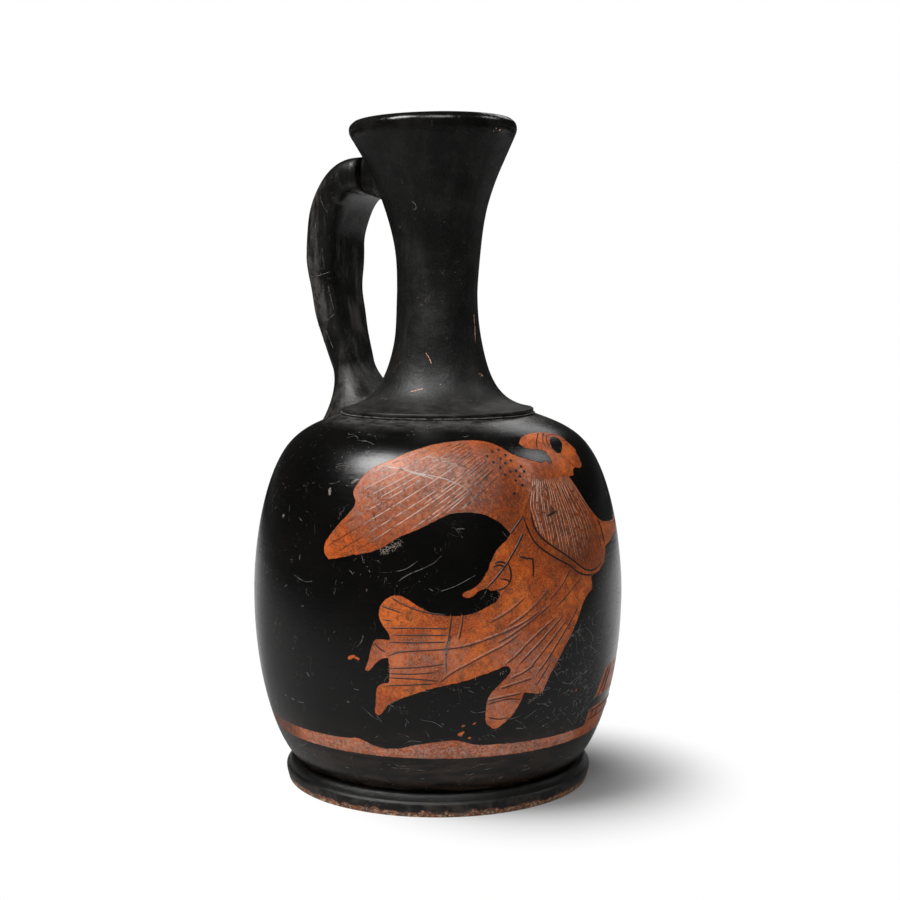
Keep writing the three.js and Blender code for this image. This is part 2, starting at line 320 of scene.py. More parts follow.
def turned(name, points, rows, columns, look, fine=(0.5, 0.0, math.pi)):
    """A turned piece from its profile in millimetres."""
    rows_of_points = np.column_stack([points[:, 0], 0 * points[:, 0], points[:, 1],
                                      np.ones(len(points))])
    source = line_object(name + "_profile", [rows_of_points])
    share, start, stop = fine
    return grown(source, TURNED, name, Rows=rows, Columns=columns, Material=look, **{
        "Fine Share": share, "Fine From": start, "Fine To": stop})


def places(mesh):
    found = np.empty(len(mesh.vertices) * 3, np.float32)
    mesh.vertices.foreach_get("co", found)
    return found.reshape(-1, 3).astype(float) / MM


def put(mesh, points):
    mesh.vertices.foreach_set("co", (points * MM).astype(np.float32).ravel())
    mesh.update()


def settle(made):
    """Turns a closed piece's faces outwards."""
    shape = bmesh.new()
    shape.from_mesh(made.data)
    if shape.calc_volume(signed=True) < 0:
        bmesh.ops.reverse_faces(shape, faces=shape.faces)
    shape.to_mesh(made.data)
    shape.free()
    return made


def keep(made, slot, *nodes):
    """Fixes a finished piece to the flask."""
    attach(made, "root")
    if nodes:
        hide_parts(*nodes)
    return made


# Finishes

SLIP_BLACK, SLIP_OLIVE, SLIP_BROWN = (0.0012,) * 3, (0.0021, 0.002, 0.0016), (0.004, 0.0028, 0.002)
CLAY_DEEP, CLAY, CLAY_PALE = (0.3, 0.042, 0.004), (0.47, 0.068, 0.003), (0.68, 0.135, 0.012)
CLAY_STAIN, CLAY_GRAIN, GRIT = (0.15, 0.04, 0.015), (0.74, 0.23, 0.06), (0.045, 0.016, 0.007)
# The last colour on the next line is a dark brown that the wall's lowest part and the foot's worn edge blend
# towards.
DUST, GREY_DUST, LOW_BROWN = (0.36, 0.3, 0.25), (0.3, 0.28, 0.26), (0.07, 0.04, 0.025)
# The first colour on the next line is a painted sheen for the bare clay: pale where the lamps' highlight
# falls.
PAINTED_SHEEN_COLOUR, DARK_CLAY_TONE, CRUMB = (0.64, 0.4, 0.32), (0.07, 0.02, 0.01), (0.6, 0.4, 0.23)
CHIP, CHIP_PALE = (0.6, 0.28, 0.16), (0.74, 0.52, 0.4)
WHEEL, PULLED = (1, 1, 26), (1, 1, 0.12)          # brush streaks round the wheel, or along the clay
HAIRLINE = 0.004                                  # how thin a scratch is, as a share of its noise
LOW_BROWN_HEIGHTS = (12 * MM, 23 * MM)                       # heights over which these fade in or out
WALL_DUST = (81.6 * MM, 84 * MM)
FLANGE_DUST = (84 * MM, 90 * MM)
LIP_SHINE = (145.5 * MM, 147 * MM)
FOOT_DUST = (2.6 * MM, 3.4 * MM)


class Look:
    """A material with its shader, and the fields that a piece's surface gives it."""

    def __init__(self, name):
        self.material = bpy.data.materials.new(name)
        self.material.use_nodes = True
        self.tree = self.material.node_tree
        self.shader = self.tree.nodes["Principled BSDF"]
        self.point = Field(self.tree, node(self.tree, "ShaderNodeTexCoord").outputs["Object"])

    def noise(self, scale, detail, roughness, stretch=None, turn=(0, 0, 0), distortion=0.0):
        place = self.point
        if stretch:
            place = place.new("ShaderNodeMapping", {"Vector": place, "Scale": stretch, "Rotation": turn})
        return place.new("ShaderNodeTexNoise", {
            "Vector": place, "Scale": scale, "Detail": detail, "Roughness": roughness,
            "Distortion": distortion}, "Fac")

    def hairlines(self, scale, stretch, turn):
        """Thin wandering scratches."""
        field = self.noise(scale, 2, 0.5, stretch, turn, 0.4)
        return (field - 0.5).math("ABSOLUTE").eased(0.0, HAIRLINE, 1.0, 0.0)

    def attribute(self, name):
        """A number kept on the piece's points."""
        return self.point.new("ShaderNodeAttribute", {}, "Fac", attribute_name=name)

    def height(self):
        return self.point.new("ShaderNodeSeparateXYZ", {0: self.point}, "Z")

    def away(self, place):
        """Distance from a place."""
        return self.point.new("ShaderNodeVectorMath", {0: self.point, 1: place}, "Value",
                              operation="DISTANCE")

    def dress(self, colour, rough, height=None, depth=0.0):
        """Gives the shader a colour, a roughness and a height, whose depth is in millimetres."""
        given = {"Base Color": colour, "Roughness": rough}
        if height:
            given["Normal"] = height.new("ShaderNodeBump", {
                "Height": height, "Strength": 0.6, "Distance": depth * MM})
        for name, value in given.items():
            feed(self.tree, self.shader.inputs[name], value)
        return self.material


def slip_look(look, rough, streak, dusty):
    """Black gloss slip: brown-black mottling, brush streaks, pits, scratches and dust. Returns its
    colour, roughness and height."""
    mottle = look.noise(70, 4, 0.6)
    colour = mottle.ramp((0.3, SLIP_BLACK), (0.55, SLIP_OLIVE), (0.75, SLIP_BROWN))
    brushed = look.noise(55, 4, 0.6, streak)
    patches = look.noise(110, 4, 0.65)
    specks = look.noise(2300, 2, 0.5).eased(0.69, 0.74) * patches.eased(0.5, 0.66)
    scratches = (look.hairlines(330, (0.25, 1, 1), (0.2, 0.9, 0.5))
                 | look.hairlines(300, (1, 1, 0.2), (0.5, 0.1, 0.8)))
    scratches = scratches * look.noise(260, 2, 0.55).eased(0.56, 0.68)
    worn = specks | scratches * 0.4
    haze = patches.eased(0.42, 0.75, 0.0, dusty) * brushed.eased(0.3, 0.7)
    colour = colour.painted(haze, DUST).painted(worn * 0.5, DUST)
    rough = mottle.eased(0.3, 0.75, rough, rough + 0.05) + brushed * 0.05 + worn * 0.3
    grain = look.noise(700, 4, 0.7, streak)
    height = brushed * 0.45 + grain * 0.25 + look.noise(190, 6, 0.62) - specks * 0.3
    return colour, rough, height


def clay_look(look):
    """Burnished orange clay: cloudy tone, wheel streaks, stains, pale grains and dark grit. Returns
    its colour, roughness and height."""
    colour = look.noise(120, 7, 0.72).ramp((0.41, CLAY_DEEP), (0.49, CLAY), (0.58, CLAY_PALE))
    streaks = look.noise(160, 4, 0.65, (1, 1, 9))
    colour = colour.painted(streaks.eased(0.5, 0.72, 0.0, 0.45), CLAY_DEEP)
    colour = colour.painted(look.noise(420, 8, 0.8).eased(0.5, 0.58, 0.0, 0.74), CLAY_STAIN)
    grains = look.noise(3300, 5, 0.8)
    colour = colour.painted(grains.eased(0.48, 0.6, 0.0, 0.6), CLAY_GRAIN)
    colour = colour.painted(look.noise(1500, 8, 0.85).eased(0.53, 0.6) * 0.7, GRIT)
    return colour, streaks.eased(0.3, 0.7, 0.3, 0.42), streaks * 0.4 + grains * 0.7


def slip_over_clay(look, share, rough, dusty):
    """Clay where the share is 1 and black gloss where it is 0."""
    slip, clay = slip_look(look, rough, WHEEL, dusty), clay_look(look)
    return slip[0].painted(share, clay[0]), slip[1].moved(share, clay[1]), slip[2].moved(share, clay[2])


def picture_look():
    """The body's wall: black gloss round the picture, which is left in bare clay."""
    look = Look("black_gloss_and_reserved_clay")
    edge = look.attribute("reserve") + (look.noise(900, 3, 0.6) - 0.5) * 0.35
    bare = edge.eased(-0.08, 0.08)
    colour, rough, height = slip_over_clay(look, bare, rough=0.18, dusty=0.003)
    # Painted sheen: the bare clay is painted pale where the lamps' highlight falls, along the strokes kept
    # on the points.
    painted_sheen = look.attribute("painted_sheen") * bare * look.noise(1500, 8, 0.85).eased(0.45, 0.58)
    # The bare clay is made darker brown along the listed strokes.
    darker_clay = look.attribute("darker_clay") * bare * look.noise(1100, 7, 0.8).eased(0.42, 0.58, 0.6, 1.4)
    # Lower down, below 23 mm, both finishes blend in streaks towards a dark brown.
    brown_below = look.height().eased(*LOW_BROWN_HEIGHTS, 0.4, 0.0) * look.noise(130, 5, 0.7, (1, 1, 6)).eased(0.38, 0.62)
    colour = colour.painted(painted_sheen, PAINTED_SHEEN_COLOUR).painted(darker_clay, DARK_CLAY_TONE).painted(brown_below, LOW_BROWN)
    # Scuffs worn through to pale dust; one stroke among them is a painted reflection of a lamp on the gloss
    # beside the head.
    worn_and_sheen = (look.attribute("scuff_and_sheen") + (look.noise(3600, 4, 0.7) - 0.5) * 2).eased(0.42, 0.54)
    ring = (look.height().eased(*WALL_DUST)
            * look.noise(240, 5, 0.7, (1, 1, 5)).eased(0.34, 0.66, 0.04, 0.32))
    colour = colour.painted(worn_and_sheen * 0.75, DUST).painted(ring, GREY_DUST)
    return look.dress(colour, rough.moved(worn_and_sheen, 0.7), height - worn_and_sheen * 0.5, 0.1)


def gloss_look(name, rough, dusty, least):
    """Duller black gloss over the neck and handle, brushed along the clay, with dust in streaks and
    round the flange. Least is the share of dust in the cleanest places."""
    look = Look(name)
    colour, rough, height = slip_look(look, rough, PULLED, dusty=0.0)
    streaks = (look.noise(300, 5, 0.7, (1, 1, 0.2)).eased(0.45, 0.63, least, 1.0)
               * look.noise(90, 4, 0.65).eased(0.4, 0.6, 0.7 * least, 1.0))
    rough = (rough + streaks * 0.12).moved(look.height().eased(*LIP_SHINE), 0.2)
    ring = (look.height().eased(*FLANGE_DUST, 1.0, 0.0)
            * look.noise(260, 5, 0.7, (1, 1, 4)).eased(0.42, 0.7, 0.0, 0.14))
    colour = colour.painted(streaks * dusty, GREY_DUST).painted(ring, DUST)
    return look.dress(colour, rough, height, 0.4)


def clay_only_look():
    """Bare clay inside the body."""
    look = Look("bare_clay")
    look.shader.inputs["Specular IOR Level"].default_value = 0.3
    return look.dress(*clay_look(look), 0.2)


def foot_look():
    """The foot: black gloss on its side, worn to soiled clay along the resting edge and bare below."""
    look = Look("black_gloss_worn_foot")
    level = look.height() * (1 / MM) + (look.noise(420, 6, 0.75) - 0.5) * 4.2
    share = level.eased(0.9, 1.5, 1.0, 0.0)
    colour, rough, height = slip_over_clay(look, share, rough=0.34, dusty=0.02)
    brown_below = share * look.noise(700, 5, 0.7).eased(0.34, 0.56, 0.3, 0.95)
    side = look.height().eased(*FOOT_DUST, 0.09, 0.0) * look.noise(350, 5, 0.7).eased(0.42, 0.6)
    crumbs = share * look.noise(1300, 6, 0.8).eased(0.5, 0.58, 0.0, 0.9)
    colour = colour.painted(brown_below, LOW_BROWN).painted(side, DUST).painted(crumbs, CRUMB)
    return look.dress(colour, rough, height, 0.35)


def line_look(name, colour, rough):
    """Thick slip drawn as a raised line."""
    look = Look(name)
    worn = look.noise(700, 4, 0.65)
    paint = worn.ramp((0.35, colour), (0.7, tuple(2.2 * c for c in colour)))
    return look.dress(paint, worn.eased(0.3, 0.7, rough, rough + 0.14))


def glint_painted_line_look(name, dark, pale, middle, reach):
    """Raised slip lines painted pale round the middle of a bulging part, in millimetres: a painted highlight
    for the lamps' glint on raised lines.
    """
    look = Look(name)
    near = look.away(Vector(on_wall(*middle)) * MM).eased(0.5 * reach * MM, reach * MM, 1.0, 0.0)
    glint_share = near * look.noise(650, 4, 0.7).eased(0.36, 0.52)
    return look.dress(glint_share.coloured(dark, pale), 0.3)


def dust_line_look(name, pale):
    """Scratches filled with pale dust, broken along their length."""
    look = Look(name)
    return look.dress(look.noise(900, 4, 0.7).eased(0.38, 0.58).coloured(SLIP_BROWN, pale), 0.6)


def chip_look():
    """Small chips down to the clay."""
    look = Look("chipped_clay")
    cloud = look.noise(1200, 4, 0.7)
    return look.dress(cloud.ramp((0.36, CLAY_DEEP), (0.48, CHIP), (0.6, CHIP_PALE)), 0.6)


# The picture: girth and height on the wall, in millimetres

def outline(*runs):
    """A closed outline of smooth runs that meet at corners."""
    return np.vstack([smooth(run) for run in runs])


WING = outline(
    [(-24.9, 55.9), (-22, 56.5), (-20, 57.0), (-18.7, 57.5)],
    [(-18.4, 57.3), (-16, 57.8), (-13.6, 58.5), (-11.4, 59.6), (-8.6, 61.3), (-4, 63.2), (0, 65.1),
     (2.6, 66.2)], [(2.6, 66.2), (6, 66.45), (9.5, 66.1), (12, 65.2), (14.2, 63.9), (16.3, 61.6)],
    [(16.3, 61.6), (24, 61), (30, 66), (32.5, 75.2)],
    [(32.5, 75.2), (30, 75.2), (27, 75.8), (23, 76.8), (20, 77.8), (17.6, 79.2), (14.6, 80.1), (10, 80.5),
     (4, 80.3), (-1, 79.8), (-5, 79), (-9, 77.9), (-12.4, 76.6), (-14.8, 75.8)],
    [(-14.8, 75.8), (-17.2, 74.7), (-18.8, 73.3), (-19.6, 72), (-20.4, 70.8), (-20.4, 69.6),
     (-19.6, 68.4)],
    [(-19.6, 68.4), (-19.6, 67.3), (-20.8, 65.7), (-22.2, 64.3), (-23.8, 62.6), (-25.4, 60.6),
     (-26.3, 58.9), (-26.1, 57.2), (-24.9, 55.9)])

FIGURE = outline(
    [(30, 76), (33, 74), (36.3, 72.3), (38, 70.2), (39.4, 67.9), (40.8, 66), (42.4, 64.4), (44.4, 62.7),
     (47, 61.6), (51, 61.0), (56, 60.6)],
    [(56, 60.6), (57.5, 61.4), (59.4, 61.5), (61, 60.7), (61.6, 59.7), (60, 59.8), (58.6, 59.2),
     (57, 58.2)], [(57, 58.2), (53, 57.6), (49.6, 56.8), (46.4, 56.2)],
    [(46.4, 56.2), (46, 54.9), (44.8, 53), (42.6, 51.7), (40.4, 51.1), (38.5, 50.6)],
    [(38.5, 50.6), (38.6, 49.2), (38.4, 47.9), (36.8, 47.0), (35.3, 45.7), (33.6, 42.9), (31.6, 39.6),
     (29.2, 36.2), (27.2, 33.3), (25.4, 30.6), (24.1, 27.4)],
    [(24.1, 27.4), (22.8, 27.2), (21, 27.6), (19.2, 27.9)],
    [(19.2, 27.9), (18.6, 26.1), (17.6, 24.4), (16.6, 22.9), (15.2, 21.7), (13.9, 20.8), (12.9, 20.4),
     (11.8, 20.9), (10.8, 21.9), (10.5, 23.4), (10.5, 25), (10.7, 26.8), (11.6, 28.6), (13.4, 30.4),
     (15.2, 32), (15.8, 33.2)],
    [(15.8, 33.2), (15.2, 34), (14, 34.1), (12, 33.4), (9, 32.5), (5, 31.3), (1, 30.5), (-3, 29.4),
     (-8, 27.5)],
    [(-8, 27.5), (-9.6, 26.8), (-11.2, 25.6), (-12.2, 24.3), (-13.2, 23.5), (-14, 24.2), (-13.8, 25.8),
     (-13.5, 27.8), (-13.1, 29.7), (-12, 30.6), (-10.5, 30.8)],
    [(-10.5, 30.8), (-10.25, 32.5), (-10.3, 34.6), (-10.5, 36.3)],
    [(-10.5, 36.3), (-12, 35.9), (-13.4, 34.8), (-14.6, 33.4), (-15.7, 33.2), (-15.2, 34.7),
     (-14.7, 36.2), (-14.2, 38.1), (-13.3, 39.9), (-11.6, 40.1), (-10, 40.1)],
    [(-10, 40.1), (-10.3, 41.4), (-11.5, 43), (-12.4, 45), (-12.2, 46.8), (-11, 48.5), (-8.8, 49.5),
     (-6.6, 48.9), (-4, 47.3), (-1, 45.9), (3, 45.3), (7, 45.7), (10.4, 47), (12.6, 48.3), (13.1, 49.4),
     (12.4, 50.4)],
    [(12.4, 50.4), (11.2, 50.3), (10.2, 50.8), (8.6, 50.4), (7.4, 49.4), (6.2, 49), (5.1, 49.5),
     (5.6, 50.2), (7.4, 50.9), (9, 52.2), (10.4, 54.2), (11.6, 56.7), (13, 58.8), (14.8, 60.2),
     (16.3, 61.7)], [(16.3, 61.7), (20, 66), (24, 72), (30, 76)])

ALTAR_BASE = outline(
    [(41.4, 16.4), (41.7, 18.4), (41.9, 20.3)], [(41.9, 20.3), (52, 20.6), (63, 20.3)],
    [(63, 20.3), (63.4, 16.4)], [(63.4, 16.4), (41.4, 16.4)])
ALTAR_TOP = outline(
    [(43.2, 22.4), (44.4, 24.2), (45.8, 26.4), (47.4, 28.8)], [(47.4, 28.8), (53, 29.3), (58.4, 28.8)],
    [(58.4, 28.8), (60, 25.5), (61.8, 22.4)], [(61.8, 22.4), (43.2, 22.4)])

HEAD_GIRTH, HEAD_RUN = 36.0, float(wall_run(77.5))
HEAD_SPREAD = BELLY_RADIUS / float(np.interp(HEAD_RUN, WALL_RUN, WALL[:, 0]))


def on_head(points):
    """Points of the head's own drawing, in millimetres from its middle, as girth and height."""
    points = np.array(points, float)
    height = np.interp(HEAD_RUN + points[:, 1], WALL_RUN, WALL[:, 1])
    return np.column_stack([HEAD_GIRTH + points[:, 0] * HEAD_SPREAD, height])


HEAD = on_head(outline(
    [(6.9, 4.0), (7.4, 3.0), (7.3, 2.0)], [(7.3, 2.0), (7.7, 0.9), (8.1, -0.3), (7.9, -0.8)],
    [(7.9, -0.8), (7.4, -1.1), (7.35, -1.5), (7.55, -1.9), (7.3, -2.3), (7.45, -2.7), (7.1, -3.1),
     (7.2, -3.8), (6.6, -4.5), (5.4, -4.8), (3.8, -4.5), (2.6, -5), (2.2, -6.2)],
    [(2.2, -6.2), (-3.6, -6.2)], [(-3.6, -6.2), (-3.2, -4.2), (-2.9, -2), (-3.2, 0.2)],
    [(-3.2, 0.2), (-4.6, 0.8), (-6.6, 1.1), (-8.2, 1.7), (-9.3, 2.8)],
    [(-9.3, 2.8), (-8, 4.3), (-6, 5.4), (-3.2, 6), (0, 6.2), (2.8, 5.8), (5, 5.1), (6.9, 4)]))
HAIR = on_head(outline(
    [(-0.6, 0.7), (-0.1, 1.8), (0.9, 3.1), (2.4, 4), (4.2, 4.1), (5, 3.4), (4.8, 2.2), (3.8, 1.2),
     (2.6, 0.2), (1.3, -0.6), (0.1, -0.5), (-0.6, 0.7)]))

BAND_LOW = [(-140, 14.1), (-33, 14.1), (0, 13.9), (33, 13.9), (140, 14.0)]
BAND_HIGH = [
    (-140, 17.0), (-33, 17.1), (-20, 17.7), (-14, 16), (-9, 16.1), (-5, 17.1), (3.4, 18.2), (8, 17.1),
    (13, 16.7), (30, 16.4), (60, 16.6), (140, 17.0)]
# Strokes of bare clay: from and to, and half their width
BARE_SPOTS = [
    (4.6, 19.5, 5.6, 20, 0.3), (5.1, 19.2, 5.3, 19.6, 0.26), (5.4, 21.4, 5.8, 21.6, 0.22),
    (7.8, 21.8, 8.3, 22, 0.2), (6.9, 18.6, 7.3, 18.7, 0.2), (34.4, 26, 34.6, 26.2, 0.25),
    (-19.4, 35.5, -18.3, 36, 0.34), (-18.3, 36, -17.2, 35.5, 0.26)]


def signed_distance(outlines, points):
    """Distance inside closed outlines: above 0 inside one, below 0 outside all."""
    best = np.full(len(points), -1e3)
    for shape in outlines:
        low, high = shape.min(0) - 2, shape.max(0) + 2
        near = np.flatnonzero(((points > low) & (points < high)).all(1))
        p = points[near]
        least, inside = np.full(len(near), 1e9), np.zeros(len(near), bool)
        for a, b in zip(shape, np.roll(shape, -1, 0)):
            step = b - a
            length = max(step @ step, 1e-12)
            t = np.clip((p - a) @ step / length, 0, 1)
            least = np.minimum(least, ((p - a - t[:, None] * step) ** 2).sum(1))
            if a[1] != b[1]:
                crosses = (a[1] > p[:, 1]) != (b[1] > p[:, 1])
                inside ^= crosses & (p[:, 0] < a[0] + (p[:, 1] - a[1]) * step[0] / step[1])
        best[near] = np.maximum(best[near], np.where(inside, 1, -1) * np.sqrt(least))
    return best


def by_run(shape):
    """An outline of girth and height as girth and length along the profile."""
    return np.column_stack([shape[:, 0], wall_run(shape[:, 1])])


def reserve(girth, height):
    """How far inside the bare clay each point of the wall lies."""
    points = np.column_stack([girth, wall_run(height)])
    clay = signed_distance([by_run(s) for s in (WING, FIGURE, HEAD, ALTAR_BASE, ALTAR_TOP)], points)
    clay = np.minimum(clay, -signed_distance([by_run(HAIR)], points))
    band = np.minimum(height - np.interp(girth, *np.transpose(BAND_LOW)),
                      np.interp(girth, *np.transpose(smooth(BAND_HIGH))) - height)
    clay = np.maximum(clay, band)
    for *stroke, size in BARE_SPOTS:
        clay = np.maximum(clay, size - from_stroke(girth, height, *stroke))
    return clay


def from_stroke(girth, height, x, z, far_x, far_z):
    """Distance of points from a straight stroke."""
    points, a, step = np.column_stack([girth, height]), np.array([x, z]), np.array([far_x - x, far_z - z])
    t = np.clip((points - a) @ step / (step @ step), 0, 1)
    return np.linalg.norm(points - a - t[:, None] * step, axis=1)


# Strokes, from and to, their width and their strength: scuffs of wear, one of them a painted reflection;
# painted sheen on the clay; and stretches of darker clay
SCUFFS_AND_PAINTED_SHEEN = [
    (-31.6, 65.1, -30.7, 63.8, 0.7, 0.75), (-27.4, 70.2, -27.2, 69.4, 0.6, 0.7),
    (-35.2, 70, -34.7, 69.6, 0.5, 0.55), (-42.2, 63.4, -41.8, 63, 0.6, 0.6),
    (-49.1, 57, -48.7, 56.4, 0.6, 0.6), (-35.8, 54.6, -35.8, 54.2, 0.45, 0.6),
    (-21.2, 25.9, -20.2, 25.8, 0.5, 0.45), (-15.4, 50.3, -15.2, 50.2, 0.4, 0.6),
    (-11.8, 58.4, -8.4, 60.2, 1.8, 0.42), (-21.4, 72, -19.6, 72.7, 0.5, 0.6),
    (-10, 26.6, -8.6, 27.2, 0.6, 0.4), (1.6, 30.4, 5, 29.2, 0.9, 0.3), (13, 32.4, 14.6, 33.2, 0.9, 0.36),
    (20.6, 25.6, 22.6, 26.8, 0.9, 0.4), (23, 26.6, 24.6, 27.4, 0.8, 0.36),
    (30.4, 36.2, 31.4, 37, 0.9, 0.36), (9.6, 18.2, 12, 19.6, 1.2, 0.3), (32.2, 31, 32.6, 29.4, 0.8, 0.34),
    # The last stroke of this row, at girth 26 to 29, is a painted reflection of a lamp on the black gloss,
    # not wear.
    (33, 39.4, 35.4, 37, 0.9, 0.34), (34, 30, 38, 26, 2.4, 0.26), (26, 78, 29, 76.2, 1.1, 0.3),
    (-6, 51, 0, 55, 2, 0.16)]
# Painted highlights: the clay is painted pale where the lamps' sheen falls on the wing and at its root, and
# painted lighter along the band and the skirt.
PAINTED_SHEEN_STROKES = [
    (-14, 70, 6, 73, 10, 0.66), (-36, 15.6, 36, 15.6, 2.6, 0.8), (-11, 36, 2, 37, 7, 0.36),
    (26, 68, 32, 60, 7, 0.35), (22.6, 74, 25, 69.5, 3, 0.75), (16, 37, 25, 29, 8, 0.36),
    (12, 26, 18, 22, 5, 0.44)]
# Stretches where the bare clay is made darker brown: the wing's right part and the chest, the altar, and the
# band's two ends.
DARKER_CLAY_STROKES = [
    (4, 72, 18, 70, 12, 0.56), (-12, 67, 4, 72, 11, 0.46), (27, 68, 33, 58, 10, 0.6),
    (36, 66, 42, 56, 8, 0.4), (24, 46, 30, 30, 7, 0.2), (46, 20, 50, 28, 9, 0.35),
    (-64, 15.5, -45, 15.5, 6, 0.8), (42, 15.4, 60, 15.4, 5, 0.2)]


STROKE_FADE = 0.6


def strokes(table, girth, height):
    """The strongest of a table's strokes at each point, fading off across their width."""
    felt = np.full(len(girth), -1.0)
    for *stroke, width, strength in table:
        fade = (from_stroke(girth, height, *stroke) / width) ** 2 * STROKE_FADE
        felt = np.maximum(felt, strength - fade)
    return felt


FEATHER_ENDS = [(16, 62.6), (17.5, 68), (16, 72.5), (13, 76.5), (8, 79.6)]
FEATHER_COUNT, FEATHER_LOW, FEATHER_STEP = 20, 60.0, 1.15


def feathers():
    """The wing's feather lines, side by side from its edge up to the coverts, with others between
    them near the root."""
    wing, lines = by_run(WING), []
    draw = np.random.default_rng(3)
    for count in range(FEATHER_COUNT):
        level = FEATHER_LOW + FEATHER_STEP * count + draw.normal(0, 0.2)
        girth = np.arange(draw.uniform(-16, 6) if count % 2 else -27.0, 19.0 - draw.uniform(0, 3), 0.4)
        slant = 0.66 - 0.012 * (level - 66) + draw.normal(0, 0.012)
        run = wall_run(BELLY_HEIGHT) - BELLY_HEIGHT + level + slant * (girth + 4)
        height = np.interp(run, WALL_RUN, WALL[:, 1])
        inside = signed_distance([wing], np.column_stack([girth, run])) > 0.4
        inside &= girth < np.interp(height, *np.transpose(FEATHER_ENDS)[::-1])
        if inside.sum() > 6:
            lines.append(np.column_stack([girth, height])[inside])
    return lines


HEM_LINES = [
    [(19.9, 64.9), (20.6, 62.4), (22, 59.7), (24, 57.9), (27, 56.0), (31, 54), (34, 52), (37, 51.1),
     (40, 51.0)],
    [(22.0, 66.2), (22.0, 64.2), (22.6, 62.2), (24.2, 60.2), (27, 58.2), (30, 56.4), (33.4, 54.2),
     (36.6, 52.3), (40, 51.9), (43, 52.8)], [(16.2, 61.7), (17.4, 62.9), (19.6, 65)],
    [(19.4, 61.9), (18.2, 60.0), (16.8, 58.2), (15, 55.8), (12.6, 53.1), (10.2, 50.8)],
    [(12.1, 55.8), (13.4, 56.2), (14.7, 55.7)], [(11.8, 55.2), (13.2, 55.5), (14.4, 55.0)],
    [(15.2, 55.8), (15.8, 53.8), (15.4, 51.9), (14, 50.7), (12.2, 50.3)],
    [(13.4, 52.6), (14.9, 52.3), (15.4, 51.6)], [(17.9, 57.0), (19.6, 56.5), (21.4, 56.2)],
    [(21.1, 56.6), (21.2, 54.6), (21.0, 52.4)], [(26.2, 64.6), (28, 65.1), (29.4, 65.6)],
    [(44.6, 62.4), (45.6, 59.6), (46.2, 56.4)], [(57, 60.2), (58.8, 60.1), (60.6, 59.9)]]
FOLD_LINES = [
    [(-9.9, 49.1), (-8, 48), (-5, 46.8), (-2, 46), (1.6, 45.6)], [(-12, 47.2), (-10, 46.6), (-7.6, 45.9)],
    [(-11.6, 44.3), (-9.4, 44.1)], [(-10.4, 42.6), (-4, 42.8), (2.2, 42.7)],
    [(-9.8, 41.2), (-4, 41.3), (2.0, 41.3)], [(-10.2, 39.6), (-5, 39.7), (1.9, 39.9)],
    [(-10.6, 36.6), (-8, 37.6), (-4, 38), (2, 38.4), (6, 38.9), (9.6, 39.9), (14, 41.3), (19, 43.2),
     (23, 45.4)], [(-10.4, 34), (-6, 34.3), (-2, 34.7), (1.4, 35.2)],
    [(-10.3, 32.9), (-5, 33), (-0.6, 33.4)], [(-10.4, 32), (-4, 31.9), (0, 31.5)],
    [(-11, 30.2), (-6, 30.6), (-1, 30.9)],
    [(0.4, 31.2), (3, 33.2), (6, 34.8), (10, 36.8), (14, 38.6), (18, 40.9)],
    [(2.9, 45.4), (2.6, 43.4), (2.2, 40.6), (1.6, 37.4), (1.7, 33.4)],
    [(5.2, 45.4), (4.9, 43), (4.3, 40.2)], [(14.4, 34.4), (17, 36.2), (20, 38.8), (24, 41.6), (27, 43.4)],
    [(12.8, 39.2), (17, 41.3), (21.6, 44), (25.6, 46.4)],
    [(17.6, 34.2), (21, 37), (25, 40.4), (29, 43.6)], [(20.2, 33), (23, 35.8), (26.4, 39.2), (30, 42.6)],
    [(22, 31.4), (24.6, 34.2), (27.6, 38), (31.4, 42.4), (33.6, 45)],
    [(14.6, 42.3), (18.4, 44.4), (22, 47), (25, 49.6)], [(11, 43.6), (15, 45.6), (19, 48.4)],
    [(27, 45.6), (31, 48.4), (34.6, 50.8)], [(25, 47.2), (28.4, 49.8), (31, 52.6)],
    [(15.8, 31.2), (18.6, 32.2), (21.4, 33.6)], [(13.6, 29.2), (17, 30), (21, 30.8)],
    [(11.0, 26.8), (14.4, 27.3), (18.6, 27.7)], [(10.8, 26), (13.4, 26.6), (16, 26.8), (18.6, 26.4)],
    [(11, 23.1), (13.6, 22.5), (16.2, 22.6)], [(-13.4, 39.2), (-12.4, 38.2), (-11, 37.4)],
    [(22, 29), (23.6, 31), (25.4, 33.6)]]
EDGED_FOLDS = FOLD_LINES[6:26]
FOLD_EDGE = (-0.25, 0.4)                          # a painted highlight line beside a fold line, shifted this far from it
TORSO_TOPS = [(24.2, 72.4), (36.2, 72.2)]
TORSO_HEMS = [(23.2, 61.6), (27, 58.2), (33, 54.6), (39, 52.2), (44.6, 55.4)]
TORSO_FOLDS = 22


def torso_folds():
    """The fine folds of the thin cloth over the chest, from the neck down to the hem."""
    lines, hem = [], smooth(TORSO_HEMS, 12)
    draw = np.random.default_rng(7)
    for share in np.arange(TORSO_FOLDS) / (TORSO_FOLDS - 1):
        top = np.array(TORSO_TOPS[0]) + share * np.subtract(TORSO_TOPS[1], TORSO_TOPS[0])
        low = hem[int(share * (len(hem) - 1))]
        middle = 0.5 * (top + low) + np.array([-1.5 + 3.2 * share, 0.3]) + draw.normal(0, 0.18, 2)
        wave = draw.normal(0, 0.16, (2, 2))
        lines.append(smooth([top, 0.6 * top + 0.4 * middle + wave[0], middle,
                             0.5 * (middle + low) + wave[1], low], 10))
    return lines


